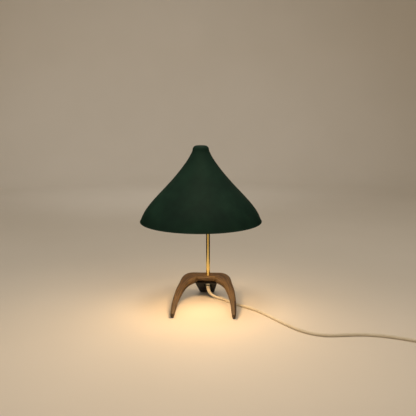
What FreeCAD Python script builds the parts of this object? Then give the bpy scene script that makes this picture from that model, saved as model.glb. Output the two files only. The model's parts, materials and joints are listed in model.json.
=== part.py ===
import FreeCAD, Part
import math
import os
from FreeCAD import Placement, Rotation, Vector

# Tripod table lamp with a spun cone shade. Millimetres, +Z up.
# Origin: on the floor straight under the shade's axis. The base faces -Y: its two front feet are at -Y.

# ---- base -------------------------------------------------------------------------------------------------
arm_reach = 82.0          # stem to the shade's axis, measured along the arm
arm_swing = 9.3           # degrees that the arm is turned off the base's own line, as photographed
crown_height = 54.3       # middle of the bow's wood where the stem goes through it
bow_slope = 17.6          # degrees that the bow falls towards its front feet
bow_thickness = 15.0
bow_foot_thickness = 11.0
bow_foot_taper = 0.6      # size of the rounded tip, as a share of the last full section
bow_edge_share = 0.42     # corner radius of the bow's section, as a share of its smaller side
base_offset = -4.5        # the stem doesn't stand quite on the base's middle line, as photographed
# half of the bow's middle line, from the crown to the foot: across, along the slope, and the bow's width there
bow_line = [
    (0.0, 1.4, 28.0),
    (24.5, 1.3, 28.5),
    (36.8, -3.6, 37.5),
    (52.3, -25.9, 28.3),
    (62.0, -55.0, 20.6),
    (67.0, -82.0, 17.2),
    (71.0, -116.0, 13.6),
    (72.2, -147.0, 11.0),
    (72.6, -158.0, 9.2),
    (72.7, -162.0, 8.8),
]
leg_top_width = 57.0      # rear leg, a broad tongue, under the crown
leg_foot_width = 38.0
leg_foot_front = 42.0     # behind the stem
leg_foot_length = 17.5
leg_top_front = -13.0     # where its front face meets the bow, from the stem
leg_top_back = 13.0
leg_edge_radius = 4.5
dowel_diameter = 8.0
dowel_depth = 8.6         # into each of the two pieces of wood
dowel_spread = 40.0       # between the two dowels
dowel_setback = -1.0      # from the stem, along the slope
dowel_end_gap = 0.4
pad_thickness = 2.0
front_pad_diameter = 6.4
front_pad_back = 149.2    # in front of the stem
rear_pad_diameter = 12.0

# ---- stem and its fastening -------------------------------------------------------------------------------
stem_diameter = 10.0
stem_bore = 8.0
stem_bend_radius = 47.0
stem_hole_clearance = 0.08
stem_below_nut = 0.95     # the stem's lower end stands this far below its nut
seat_wood = 3.8           # wood left between the bow and the nut's washer
nut_recess_diameter = 22.0
washer_diameter = 20.0
washer_thickness = 1.5
nut_across_flats = 14.0
nut_height = 4.5
nut_running_gap = 0.05    # the nut turns with the stem, against the washer
thread_clearance = 0.05
bushing_diameter = 12.0
bushing_height = 2.5
bushing_spigot = 5.0
slip_clearance = 0.1
flex_end_gap = 0.4        # the flex in the stem turns with it, over the cord in the hub

# ---- knuckle ----------------------------------------------------------------------------------------------
arm_height = 304.0        # middle line of the arm's level end, and of the knuckle's pivot
pivot_offset = 16.0       # pivot to the shade's axis
fork_diameter = 14.0
fork_socket_depth = 7.0
fork_web = 2.0            # metal between the socket and the slot
ear_radius = 7.0
ear_thickness = 3.5
slot_width = 6.0
washer_gap = 0.5          # thickness of each friction washer
tongue_radius = 6.5
tongue_clearance = 0.05
knuckle_pin_diameter = 5.0
knob_diameter = 12.0
knob_length = 6.0
knob_flutes = 18
flute_radius = 0.45
flute_end = 0.8           # plain metal left at each end of the knob
hub_diameter = 16.0
hub_height = 16.0
cap_nut_diameter = 9.0
cap_nut_length = 4.5
fork_wire_hole = 6.0

# ---- shade ------------------------------------------------------------------------------------------------
rim_radius = 144.9
rim_drop = 84.0           # the rim lies this far below the arm's level end
shade_height = 180.0
shade_wall = 0.8
rim_bead_radius = 1.3
nose_width = 38.0         # across the foot of the nose
nose_radius = 10.0        # rounding round the flat tip
nose_turn = 75.0          # degrees that the rounding turns through
# from the nose down: share of the way out to the rim, share of the way down to it
shade_flare = [
    (0.0, 0.0),
    (0.010, 0.033),
    (0.034, 0.073),
    (0.067, 0.1164),
    (0.193, 0.2509),
    (0.377, 0.4164),
    (0.592, 0.5858),
    (0.802, 0.7542),
    (0.957, 0.9216),
    (1.0, 1.0),
]
spider_rise = 29.0        # underside of the carrier inside the shade, above the arm's level end
spider_thickness = 2.0
spider_ring_diameter = 28.0
spider_arm_width = 9.0
spider_arms = 3
nipple_diameter = 10.0
nipple_bore = 7.0
nipple_above_nut = 2.0

# ---- lampholder and bulb ----------------------------------------------------------------------------------
collar_diameter = 15.0
collar_height = 6.0
holder_wall = 1.5
holder_diameter = 37.0
cap_height = 26.0         # collar and dome
skirt_overlap = 5.0
skirt_height = 34.0
insert_thickness = 9.0
insert_gap = 0.5
shell_bore = 26.6         # threaded sleeve for the bulb
shell_wall = 0.6
shell_length = 20.0
contact_width = 5.0
contact_thickness = 0.6
contact_lift = 2.4
terminal_screw_diameter = 4.0
terminal_screw_height = 2.6
terminal_slot = 0.8       # as wide as it is deep
terminal_lug = (9.0, 7.0, 5.0)
terminal_spread = 20.0
switch_bar_diameter = 3.6
switch_bar_length = 62.0
switch_knob_diameter = 7.0
switch_knob_length = 6.0
switch_travel = 7.0       # it rests pushed to one side
switch_bar_drop = 16.0    # below the top of the collar
bulb_diameter = 45.0
bulb_length = 68.0
bulb_neck_diameter = 25.0
bulb_cap_diameter = 26.2
bulb_cap_length = 17.0
bulb_wall = 0.8
bulb_tip_diameter = 11.0
bulb_tip_length = 2.4
mount_diameter = 7.0
filament_wire = 0.8
filament_span = 14.0

# ---- cord -------------------------------------------------------------------------------------------------
cord_diameter = 7.0
cord_length = 1800.0
# across and along the base from the stem, and up from the floor: out of the hub and along the floor to the coil
cord_points = [
    (0.3, -0.4, 22.0),
    (5.6, -2.0, 11.6),
    (17.0, -6.3, 5.2),
    (32.3, -16.1, 3.5),
    (47.4, -29.9, 3.5),
    (62.0, -49.3, 3.5),
    (86.0, -68.9, 3.5),
    (119.4, -95.7, 3.5),
    (151.4, -137.9, 3.5),
    (182.8, -185.2, 3.5),
    (215.8, -229.0, 3.5),
    (259.7, -252.5, 3.5),
    (307.9, -246.2, 3.5),
    (353.0, -240.5, 3.5),
    (402.7, -249.8, 3.5),
    (456.7, -272.8, 3.5),
]
coil_centre = (526.5, -250.8)
coil_radius = 49.4        # of the cord's middle line in the outermost turn
coil_start = -112.0       # degrees round the coil's centre
coil_turns = 4.33
coil_step = 7.8           # radial distance from one turn to the next
coil_rise = 7.6           # from the lower layer to the upper one
coil_lift = 1.0           # the tie passes under the coil
tie_angle = 150.0
tie_width = 9.0
tie_thickness = 1.0
tie_slack = 0.3
tail_drop = 30.0          # length of cord from the coil to the plug's collar
plug_length = 37.0
plug_width = 27.0
plug_thickness = 14.0
plug_edge_radius = 3.0
plug_collar_length = 22.0
plug_collar_diameter = 11.0
pin_diameter = 4.0
pin_length = 19.0
pin_spacing = 18.6
pin_seat = 6.0

# ---- worked out from the values above ---------------------------------------------------------------------
swing = math.radians(arm_swing)
hub_x = arm_reach * math.sin(swing)
hub_y = arm_reach * math.cos(swing)
slope = math.radians(bow_slope)
trim_size = 4 * -bow_line[-1][1]    # of the blocks that trim the wood, wider than the base
nut_seat_height = crown_height - bow_thickness / 2 / math.cos(slope) - seat_wood
nut_low = nut_seat_height - washer_thickness - nut_running_gap - nut_height
stem_end_height = nut_low - stem_below_nut
rim_height = arm_height - rim_drop
spider_height = arm_height + spider_rise
shade_top = rim_height + shade_height
holder_top = arm_height - hub_height / 2
holder_radius = holder_diameter / 2
pivot_reach = arm_reach - pivot_offset
slot_end = pivot_reach - tongue_radius - 0.6
socket_end = slot_end - fork_web
socket_start = socket_end - fork_socket_depth
stem_level_start = socket_start - 2.0
base_place = Placement(Vector(hub_x + base_offset, hub_y, 0), Rotation())
fixing_place = Placement(Vector(hub_x, hub_y, 0), Rotation())
arm_place = Placement(Vector(hub_x, hub_y, 0), Rotation(Vector(0, 0, 1), -arm_swing))
head_place = Placement(Vector(0, 0, 0), Rotation(Vector(0, 0, 1), -arm_swing))
bow_place = Placement(Vector(0, 0, crown_height), Rotation(Vector(1, 0, 0), bow_slope))

os.makedirs("parts", exist_ok=True)


def save(name, shape, place=None):
    if place is not None:
        shape = shape.copy()
        shape.Placement = place.multiply(shape.Placement)
    solids = shape.Solids
    volume = sum(s.Volume for s in solids)
    print(f"{name:18s} solids {len(solids)} valid {shape.isValid()} volume {volume:10.1f}")
    if len(solids) == 1:
        shape = solids[0]
    shape.exportStep(f"parts/{name}.step")
    return shape


def rod(radius, length, at, along=(0, 0, 1)):
    return Part.makeCylinder(radius, length, Vector(*at), Vector(*along))


def ring(outer, inner, length, at, along=(0, 0, 1)):
    start = Vector(*at)
    axis = Vector(*along).normalize()
    bore = Part.makeCylinder(inner, length + 2, start - axis, axis)
    return Part.makeCylinder(outer, length, start, axis).cut(bore)


def spun(edges):
    """The solid that a closed outline in the XZ plane makes when it turns about the vertical axis."""
    face = Part.Face(Part.Wire(Part.__sortEdges__(edges)))
    solid = face.revolve(Vector(0, 0, 0), Vector(0, 0, 1), 360)
    if solid.Volume < 0:
        solid.reverse()
    return solid


def turned(outline):
    """The same, for an outline of straight lines through (radius, height) points."""
    points = [Vector(r, 0, z) for r, z in outline]
    return spun([Part.LineSegment(a, b).toShape() for a, b in zip(points, points[1:] + points[:1])])


def hexagon(across_flats, height, at):
    corner = across_flats / math.sqrt(3)
    points = [Vector(corner * math.cos(k * math.pi / 3), corner * math.sin(k * math.pi / 3), 0) for k in range(7)]
    prism = Part.Face(Part.makePolygon(points)).extrude(Vector(0, 0, height))
    prism.translate(Vector(*at))
    return prism


def rounded_section(width, thickness, corner, to_world):
    """A rounded rectangle of eight edges, mapped by to_world(across, up)."""
    a, b = width / 2, thickness / 2
    r = min(corner, 0.98 * a, 0.98 * b)
    q = r * (1 - math.sqrt(0.5))
    corners = [
        ((a, b - r), (a - q, b - q), (a - r, b)),
        ((-a + r, b), (-a + q, b - q), (-a, b - r)),
        ((-a, -b + r), (-a + q, -b + q), (-a + r, -b)),
        ((a - r, -b), (a - q, -b + q), (a, -b + r)),
    ]
    edges = []
    for corner, following in zip(corners, corners[1:] + corners[:1]):
        first, middle, last = [to_world(*p) for p in corner]
        edges.append(Part.Arc(first, middle, last).toShape())
        edges.append(Part.LineSegment(last, to_world(*following[0])).toShape())
    return Part.Wire(edges)


# ---- base -------------------------------------------------------------------------------------------------
def interpolate(table, value):
    for (x0, y0), (x1, y1) in zip(table, table[1:]):
        if value <= x1:
            return y0 + (y1 - y0) * (value - x0) / (x1 - x0)
    return table[-1][1]


def make_front_bow():
    line = [(-u, w, width) for u, w, width in reversed(bow_line[1:])] + list(bow_line)
    curve = Part.BSplineCurve()
    curve.interpolate([Vector(u, w, 0) for u, w, width in line])
    half = curve.length() / 2
    stations = []
    for u, w, width in bow_line:
        parameter = curve.parameter(Vector(u, w, 0))
        stations.append((curve.length(curve.FirstParameter, parameter) - half, width))
    sections = []
    count = 11
    full = stations[-2][0]
    spots = [full * k / count for k in range(-count, count + 1)]
    for spot in [-half] + spots + [half]:
        parameter = curve.parameterAtDistance(min(max(spot + half, 0), 2 * half), curve.FirstParameter)
        here = curve.value(parameter)
        along = Vector(*curve.tangent(parameter)[0]).normalize()
        across = Vector(-along.y, along.x, 0)
        width = interpolate(stations, abs(spot))
        bend_start = stations[2][0]
        share = min(max((abs(spot) - bend_start) / (half - bend_start), 0), 1)
        thick = bow_thickness + (bow_foot_thickness - bow_thickness) * share
        if abs(spot) >= half - 1e-6:
            width, thick = width * bow_foot_taper, thick * bow_foot_taper
        corner = bow_edge_share * min(width, thick)

        def to_world(a, b, here=here, across=across):
            return here + across * a + Vector(0, 0, b)

        sections.append(rounded_section(width, thick, corner, to_world))
    bow = Part.makeLoft(sections, True, False)
    bow.Placement = bow_place
    return bow


def foot_cut():
    """Everything below the top of the foot pads."""
    corner = Vector(-trim_size / 2, -trim_size / 2, pad_thickness - crown_height)
    return Part.makeBox(trim_size, trim_size, crown_height, corner)


def under_bow():
    """Everything below the plane of the bow's underside."""
    corner = Vector(-trim_size / 2, -trim_size / 2, -trim_size - bow_thickness / 2)
    block = Part.makeBox(trim_size, trim_size, trim_size, corner)
    block.Placement = bow_place
    return block


def make_rear_leg():
    underside = crown_height - bow_thickness / 2 / math.cos(slope)
    front_top = underside + math.tan(slope) * leg_top_front
    back_top = underside + math.tan(slope) * leg_top_back
    foot_back = leg_foot_front + leg_foot_length
    sections = []
    for level in (0.0, front_top / 2, front_top, back_top + 4):
        fall = level / front_top
        front = leg_foot_front + (leg_top_front - leg_foot_front) * fall
        back = foot_back + (leg_top_back - foot_back) * level / back_top
        width = leg_foot_width + (leg_top_width - leg_foot_width) * fall
        middle = (front + back) / 2

        def to_world(a, b, middle=middle, level=level):
            return Vector(a, middle + b, level)

        sections.append(rounded_section(width, back - front, leg_edge_radius, to_world))
    leg = Part.makeLoft(sections, True, True)
    return leg.common(under_bow())


def dowel_holes(radius, gap):
    pieces = []
    for side in (-1, 1):
        at = (side * dowel_spread / 2, dowel_setback, -bow_thickness / 2 - dowel_depth - gap)
        pieces.append(rod(radius, 2 * (dowel_depth + gap), at))
    group = Part.Compound(pieces)
    group.Placement = bow_place
    return group


def make_base():
    stem_hole = rod(stem_diameter / 2 + stem_hole_clearance, arm_height, (-base_offset, 0, 0))
    recess = rod(nut_recess_diameter / 2, nut_seat_height, (-base_offset, 0, 0))
    holes = dowel_holes(dowel_diameter / 2, dowel_end_gap)
    bow = make_front_bow().cut(stem_hole).cut(recess).cut(holes).cut(foot_cut())
    leg = make_rear_leg().cut(stem_hole).cut(recess).cut(holes).cut(foot_cut())
    save("front_bow", bow, base_place)
    save("rear_leg", leg, base_place)
    save("bow_dowels", dowel_holes(dowel_diameter / 2, 0), base_place)
    foot_across = bow_line[-2][0]
    for name, side in (("foot_pad_left", -1), ("foot_pad_right", 1)):
        pad = rod(front_pad_diameter / 2, pad_thickness, (side * foot_across, -front_pad_back, 0))
        save(name, pad, base_place)
    rear = (0, leg_foot_front + leg_foot_length / 2, 0)
    save("foot_pad_rear", rod(rear_pad_diameter / 2, pad_thickness, rear), base_place)


def make_stem_fixings():
    bore = stem_diameter / 2 + thread_clearance
    washer_low = nut_seat_height - washer_thickness
    washer = ring(washer_diameter / 2, bore, washer_thickness, (0, 0, washer_low))
    save("stem_washer", washer, fixing_place)
    nut = hexagon(nut_across_flats, nut_height, (0, 0, nut_low))
    save("stem_nut", nut.cut(rod(bore, crown_height, (0, 0, 0))), fixing_place)
    low = stem_end_height - bushing_height
    flange = rod(bushing_diameter / 2, bushing_height, (0, 0, low))
    spigot = rod(stem_bore / 2 - thread_clearance, bushing_spigot, (0, 0, stem_end_height))
    opening = rod(cord_diameter / 2 + thread_clearance, crown_height, (0, 0, 0))
    save("cord_bushing", flange.fuse(spigot).removeSplitter().cut(opening), fixing_place)


# ---- stem -------------------------------------------------------------------------------------------------
def stem_path(low, level_end):
    """Up, round the bend and level towards the shade's axis, which lies at -Y of the stem."""
    radius = stem_bend_radius
    bend_low = Vector(0, 0, arm_height - radius)
    bend_end = Vector(0, -radius, arm_height)
    middle = Vector(0, -radius * (1 - math.sqrt(0.5)), arm_height - radius * (1 - math.sqrt(0.5)))
    edges = [
        Part.LineSegment(Vector(0, 0, low), bend_low).toShape(),
        Part.Arc(bend_low, middle, bend_end).toShape(),
        Part.LineSegment(bend_end, Vector(0, -level_end, arm_height)).toShape(),
    ]
    return Part.Wire(edges)


def swept(path, radius, at, along):
    circle = Part.Wire([Part.makeCircle(radius, Vector(*at), Vector(*along))])
    return path.makePipeShell([circle], True, False)


def make_stem():
    path = stem_path(stem_end_height, socket_end)
    start = (0, 0, stem_end_height)
    outside = swept(path, stem_diameter / 2, start, (0, 0, 1))
    inside = swept(path, stem_bore / 2, start, (0, 0, 1))
    save("stem_tube", outside.cut(inside), arm_place)
    flex_low = stem_end_height - bushing_height + flex_end_gap
    flex = swept(stem_path(flex_low, socket_end - 1.0), cord_diameter / 2, (0, 0, flex_low), (0, 0, 1))
    save("inner_flex", flex, arm_place)


# ---- knuckle ----------------------------------------------------------------------------------------------
def level_rod(radius, first, last):
    """A round bar along the arm's level end, between two distances from the stem."""
    return rod(radius, last - first, (0, -first, arm_height), (0, -1, 0))


def cross_rod(radius, first, last):
    """A round bar along the knuckle's pivot line."""
    return rod(radius, last - first, (first, -pivot_reach, arm_height), (1, 0, 0))


def make_knuckle():
    half_slot = slot_width / 2
    half_fork = half_slot + ear_thickness
    body = level_rod(fork_diameter / 2, socket_start, slot_end)
    ears = cross_rod(ear_radius, -half_fork, half_fork)
    cheek_length = pivot_reach - slot_end
    cheeks = Part.makeBox(
        2 * half_fork,
        cheek_length,
        2 * ear_radius,
        Vector(-half_fork, -pivot_reach, arm_height - ear_radius),
    )
    slot = Part.makeBox(
        slot_width,
        cheek_length + ear_radius + 1,
        4 * ear_radius,
        Vector(-half_slot, -pivot_reach - ear_radius - 1, arm_height - 2 * ear_radius),
    )
    fork = body.fuse([ears, cheeks]).removeSplitter().cut(slot)
    fork = fork.cut(level_rod(stem_diameter / 2 + thread_clearance, socket_start - 1, socket_end))
    fork = fork.cut(level_rod(fork_wire_hole / 2, socket_start, slot_end + 1))
    fork = fork.cut(cross_rod(knuckle_pin_diameter / 2 + thread_clearance, -half_fork - 1, half_fork + 1))
    save("knuckle_fork", fork, arm_place)

    pin_hole = knuckle_pin_diameter / 2 + tongue_clearance
    washers = []
    for near, far in ((-half_slot, -half_slot + washer_gap), (half_slot - washer_gap, half_slot)):
        washers.append(cross_rod(tongue_radius, near, far).cut(cross_rod(pin_hole, near - 1, far + 1)))
    save("friction_washers", Part.Compound(washers), arm_place)

    half_tongue = half_slot - washer_gap - tongue_clearance
    disc = cross_rod(tongue_radius, -half_tongue, half_tongue)
    neck_height = 0.8 * hub_height
    neck = Part.makeBox(
        2 * half_tongue,
        pivot_offset,
        neck_height,
        Vector(-half_tongue, -arm_reach, arm_height - neck_height / 2),
    )
    reach_past = ear_radius + 1.0
    clear_front = cross_rod(reach_past, -half_fork, half_fork)
    hub = rod(hub_diameter / 2, hub_height, (0, -arm_reach, arm_height - hub_height / 2))
    tongue = neck.fuse([disc, hub.cut(clear_front)])
    tongue = tongue.removeSplitter().cut(cross_rod(pin_hole, -half_fork, half_fork))
    hub_low = arm_height - hub_height
    nipple_hole = rod(nipple_diameter / 2 + thread_clearance, 2 * hub_height, (0, -arm_reach, hub_low))
    save("knuckle_tongue", tongue.cut(nipple_hole), arm_place)

    shank = cross_rod(knuckle_pin_diameter / 2, -half_fork - cap_nut_length + 1, half_fork + 1)
    knob = cross_rod(knob_diameter / 2, half_fork, half_fork + knob_length)
    flutes = []
    for k in range(knob_flutes):
        turn = 2 * math.pi * k / knob_flutes
        y = -pivot_reach + knob_diameter / 2 * math.cos(turn)
        z = arm_height + knob_diameter / 2 * math.sin(turn)
        flutes.append(rod(flute_radius, knob_length - 2 * flute_end, (half_fork + flute_end, y, z), (1, 0, 0)))
    knob = knob.cut(Part.Compound(flutes))
    save("knuckle_screw", shank.fuse(knob).removeSplitter(), arm_place)
    cap = cross_rod(cap_nut_diameter / 2, -half_fork - cap_nut_length, -half_fork)
    hole = cross_rod(knuckle_pin_diameter / 2 + thread_clearance, -half_fork - cap_nut_length + 0.9, 0)
    save("knuckle_nut", cap.cut(hole), arm_place)


# ---- shade and what carries it ----------------------------------------------------------------------------
def shade_outline(inset):
    """Edges from the tip to the rim, moved inwards by inset along the outline's normal, and the rim point."""
    turn = math.radians(nose_turn)
    nose_out = nose_width / 2
    nose_low = shade_top - nose_radius * (1 - math.cos(turn))
    flat = nose_out - nose_radius * math.sin(turn)
    centre = Vector(flat, 0, shade_top - nose_radius)
    small = nose_radius - inset
    arc = []
    for angle in (0, turn / 2, turn):
        arc.append(centre + Vector(small * math.sin(angle), 0, small * math.cos(angle)))
    wide, deep = rim_radius - nose_out, nose_low - rim_height
    outer = Part.BSplineCurve()
    outer.interpolate([Vector(nose_out + wide * r, 0, nose_low - deep * h) for r, h in shade_flare])
    flare = outer
    if inset:
        moved = [arc[2]]
        count = 24
        for k in range(1, count + 1):
            spot = outer.FirstParameter + (outer.LastParameter - outer.FirstParameter) * k / count
            here = outer.value(spot)
            along = Vector(*outer.tangent(spot)[0]).normalize()
            moved.append(here + Vector(along.z, 0, -along.x) * inset)
        flare = Part.BSplineCurve()
        flare.interpolate(moved)
    tip = Vector(0, 0, shade_top - inset)
    edges = [Part.LineSegment(tip, arc[0]).toShape(), Part.Arc(*arc).toShape(), flare.toShape()]
    return edges, tip, flare.value(flare.LastParameter)


def make_shade():
    outer, tip_out, rim_out = shade_outline(0)
    inner, tip_in, rim_in = shade_outline(shade_wall)
    ends = [Part.LineSegment(tip_in, tip_out).toShape(), Part.LineSegment(rim_out, rim_in).toShape()]
    shell = spun(outer + inner + ends)
    middle = (rim_out + rim_in) / 2
    bead = Part.makeTorus(middle.x, rim_bead_radius, Vector(0, 0, middle.z))
    save("shade", shell.fuse(bead))


def shade_inside():
    inner, tip, rim = shade_outline(shade_wall)
    middle = Vector(0, 0, rim.z)
    return spun(inner + [Part.LineSegment(rim, middle).toShape(), Part.LineSegment(middle, tip).toShape()])


def make_carrier():
    spider = rod(spider_ring_diameter / 2, spider_thickness, (0, 0, spider_height))
    for k in range(spider_arms):
        arm = Part.makeBox(
            rim_radius, spider_arm_width, spider_thickness, Vector(0, -spider_arm_width / 2, spider_height)
        )
        arm.rotate(Vector(0, 0, 0), Vector(0, 0, 1), 90 + 360 * k / spider_arms)
        spider = spider.fuse(arm)
    spider = spider.removeSplitter().common(shade_inside())
    bore = nipple_diameter / 2 + thread_clearance
    save("shade_spider", spider.cut(rod(bore, shade_top, (0, 0, 0))), head_place)
    nuts = []
    for low in (spider_height - nut_height, spider_height + spider_thickness):
        nuts.append(hexagon(nut_across_flats, nut_height, (0, 0, low)).cut(rod(bore, shade_top, (0, 0, 0))))
    save("spider_nuts", Part.Compound(nuts), head_place)
    nipple_low = holder_top - collar_height
    nipple_high = spider_height + spider_thickness + nut_height + nipple_above_nut
    nipple = ring(nipple_diameter / 2, nipple_bore / 2, nipple_high - nipple_low, (0, 0, nipple_low))
    save("head_nipple", nipple, head_place)


# ---- lampholder -------------------------------------------------------------------------------------------
def switch_line(radius, first, last):
    return rod(radius, last - first, (first, 0, holder_top - switch_bar_drop), (1, 0, 0))


def make_lampholder():
    collar = collar_diameter / 2
    bore = nipple_diameter / 2 + thread_clearance
    rim = holder_radius
    inner_rim = rim - holder_wall
    cap_low = holder_top - cap_height
    shoulder = holder_top - collar_height - 6.0
    cap = turned([
        (bore, holder_top),
        (collar, holder_top),
        (collar, holder_top - collar_height + 1),
        (collar + 6.0, holder_top - collar_height - 3.0),
        (rim - 0.6, shoulder),
        (rim, shoulder - 3.0),
        (rim, cap_low),
        (inner_rim, cap_low),
        (inner_rim, shoulder - 3.0),
        (collar + 5.0, holder_top - collar_height - 3.0 - holder_wall),
        (bore, holder_top - collar_height),
    ])
    slide_hole = switch_bar_diameter / 2 + slip_clearance / 2
    cap = cap.cut(switch_line(slide_hole, -rim - 2, rim + 2))
    save("holder_cap", cap, head_place)

    skirt_out = rim + thread_clearance + holder_wall
    skirt_top = cap_low + skirt_overlap
    skirt_low = skirt_top - skirt_height
    skirt = turned([
        (rim + thread_clearance, skirt_top),
        (skirt_out, skirt_top),
        (skirt_out, skirt_low + 1.5),
        (skirt_out - 1.5, skirt_low),
        (rim - 2.5, skirt_low),
        (rim - 2.5, skirt_low + 1.5),
        (inner_rim, skirt_low + 3.0),
        (inner_rim, cap_low - 0.2),
        (rim + thread_clearance, cap_low - 0.2),
    ])
    save("holder_skirt", skirt, head_place)

    insert_top = cap_low - 0.2
    insert_low = insert_top - insert_thickness
    insert = ring(inner_rim - insert_gap, 2.0, insert_thickness, (0, 0, insert_low))
    lugs = []
    long, wide, tall = terminal_lug
    for side in (-1, 1):
        corner = Vector(-long / 2, side * terminal_spread / 2 - wide / 2, insert_top)
        lugs.append(Part.makeBox(long, wide, tall, corner))
    insert = insert.fuse(lugs).removeSplitter()
    save("holder_insert", insert, head_place)
    screws = []
    low = insert_top + tall
    slot_low = low + terminal_screw_height - terminal_slot
    for side in (-1, 1):
        middle = side * terminal_spread / 2
        head = rod(terminal_screw_diameter / 2, terminal_screw_height, (0, middle, low))
        corner = Vector(-terminal_screw_diameter, middle - terminal_slot / 2, slot_low)
        slot = Part.makeBox(2 * terminal_screw_diameter, terminal_slot, terminal_screw_height, corner)
        screws.append(head.cut(slot))
    save("terminal_screws", Part.Compound(screws), head_place)
    sleeve = ring(shell_bore / 2 + shell_wall, shell_bore / 2, shell_length, (0, 0, insert_low - shell_length))
    save("screw_sleeve", sleeve, head_place)
    strip = contact_width / 2
    leaf = turned([
        (0, insert_low),
        (strip, insert_low),
        (strip, insert_low - contact_thickness),
        (contact_thickness, insert_low - contact_lift),
        (0, insert_low - contact_lift),
    ])
    save("centre_contact", leaf, head_place)

    first = -switch_bar_length / 2 - switch_travel / 2
    last = first + switch_bar_length
    bar = switch_line(switch_bar_diameter / 2, first, last)
    bar = bar.fuse(switch_line(switch_knob_diameter / 2, first, first + switch_knob_length))
    bar = bar.fuse(switch_line(switch_knob_diameter / 2, last - switch_knob_length, last))
    save("switch_bar", bar.removeSplitter(), head_place)
    return insert_low


def make_bulb(insert_low):
    ball = bulb_diameter / 2
    neck = bulb_neck_diameter / 2
    tip_top = insert_low - contact_lift
    bulb_centre_height = tip_top - bulb_length + ball
    cap_top = tip_top - bulb_tip_length
    cap_low = cap_top - bulb_cap_length
    meet = bulb_centre_height + math.sqrt(ball ** 2 - neck ** 2)

    def glass_profile(inset):
        r, n = ball - inset, neck - inset
        top = bulb_centre_height + math.sqrt(r ** 2 - n ** 2)
        turn = math.atan2(top - bulb_centre_height, n)
        middle = (turn - math.pi / 2) / 2
        low = Vector(0, 0, bulb_centre_height - r)
        side = Vector(r * math.cos(middle), 0, bulb_centre_height + r * math.sin(middle))
        return low, Part.Arc(low, side, Vector(n, 0, top)).toShape(), Vector(n, 0, top)

    rim_height_inside = cap_low + 2.0
    low_out, arc_out, top_out = glass_profile(0)
    low_in, arc_in, top_in = glass_profile(bulb_wall)
    lip_out = Vector(neck, 0, rim_height_inside)
    lip_in = Vector(neck - bulb_wall, 0, rim_height_inside)
    edges = [
        arc_out,
        Part.LineSegment(top_out, lip_out).toShape(),
        Part.LineSegment(lip_out, lip_in).toShape(),
        Part.LineSegment(lip_in, top_in).toShape(),
        arc_in,
        Part.LineSegment(low_in, low_out).toShape(),
    ]
    save("bulb_glass", spun(edges), head_place)
    wall = 0.5
    outside = bulb_cap_diameter / 2
    cap = turned([
        (neck + 0.05, cap_low),
        (outside, cap_low),
        (outside, cap_top - 3.0),
        (bulb_tip_diameter / 2, cap_top),
        (bulb_tip_diameter / 2 - wall, cap_top),
        (outside - wall, cap_top - 3.0 - wall),
        (neck + 0.05, cap_top - 3.6),
    ])
    save("bulb_cap", cap, head_place)
    tip = turned([
        (0, cap_top - 1.5),
        (bulb_tip_diameter / 2 - wall, cap_top - 1.0),
        (bulb_tip_diameter / 2 - wall, cap_top),
        (bulb_tip_diameter / 2 - 1.0, cap_top + 0.8),
        (2.4, tip_top - 0.5),
        (0, tip_top),
    ])
    save("bulb_tip", tip, head_place)
    stem_low = bulb_centre_height + 4.0
    mount = rod(mount_diameter / 2, rim_height_inside - stem_low, (0, 0, stem_low))
    flare = ring(neck - bulb_wall - 0.1, mount_diameter / 2 - 0.5, 1.5, (0, 0, rim_height_inside - 1.5))
    save("bulb_mount", mount.fuse(flare).removeSplitter(), head_place)
    half = filament_span / 2
    wire = [Vector(-2, 0, stem_low), Vector(-half, 0, stem_low - 7), Vector(half, 0, stem_low - 7), Vector(2, 0, stem_low)]
    legs = []
    for first, last in zip(wire, wire[1:]):
        along = last - first
        legs.append(Part.makeCylinder(filament_wire / 2, along.Length, first, along))
    for joint in wire[1:3]:
        legs.append(Part.makeSphere(filament_wire / 2, joint))
    filament = legs[0].fuse(legs[1:]).cut(rod(mount_diameter / 2, bulb_length, (0, 0, stem_low)))
    save("bulb_filament", filament, head_place)
    print(f"glass meets its neck at {meet:.1f}, cap from {cap_low:.1f} to {cap_top:.1f}")


# ---- cord -------------------------------------------------------------------------------------------------
def run_and_arc(points):
    """Straight runs joined by tangent arcs, each arc as large as its two runs allow. Also gives the radii."""
    edges = []
    radii = []
    here = points[0]
    for before, corner, after in zip(points, points[1:], points[2:]):
        back, ahead = before - corner, after - corner
        shorter = min(back.Length, ahead.Length)
        back.normalize()
        ahead.normalize()
        turn = math.pi - back.getAngle(ahead)
        reach = 0.45 * shorter
        radius = reach / math.tan(turn / 2)
        radii.append(radius)
        first, last = corner + back * reach, corner + ahead * reach
        inward = (back + ahead).normalize()
        middle = corner + inward * (radius / math.cos(turn / 2) - radius)
        edges.append(Part.LineSegment(here, first).toShape())
        edges.append(Part.Arc(first, middle, last).toShape())
        here = last
    edges.append(Part.LineSegment(here, points[-1]).toShape())
    return Part.Wire(edges), radii


def cord_tube(name, points):
    path, radii = run_and_arc(points)
    circle = Part.Wire([Part.makeCircle(cord_diameter / 2, points[0], points[1] - points[0])])
    tube = path.makePipeShell([circle], True, False)
    expected = math.pi * cord_diameter ** 2 / 4 * path.Length
    print(f"{name}: length {path.Length:.1f}, volume over section x length {tube.Volume / expected:.4f}")
    print("  radii in diameters", [round(r / cord_diameter, 1) for r in radii])
    save(name, tube)
    return path.Length


def on_base(point):
    """A place given from the stem, in the lamp's own frame."""
    return Vector(*point) + Vector(hub_x, hub_y, 0)


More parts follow.
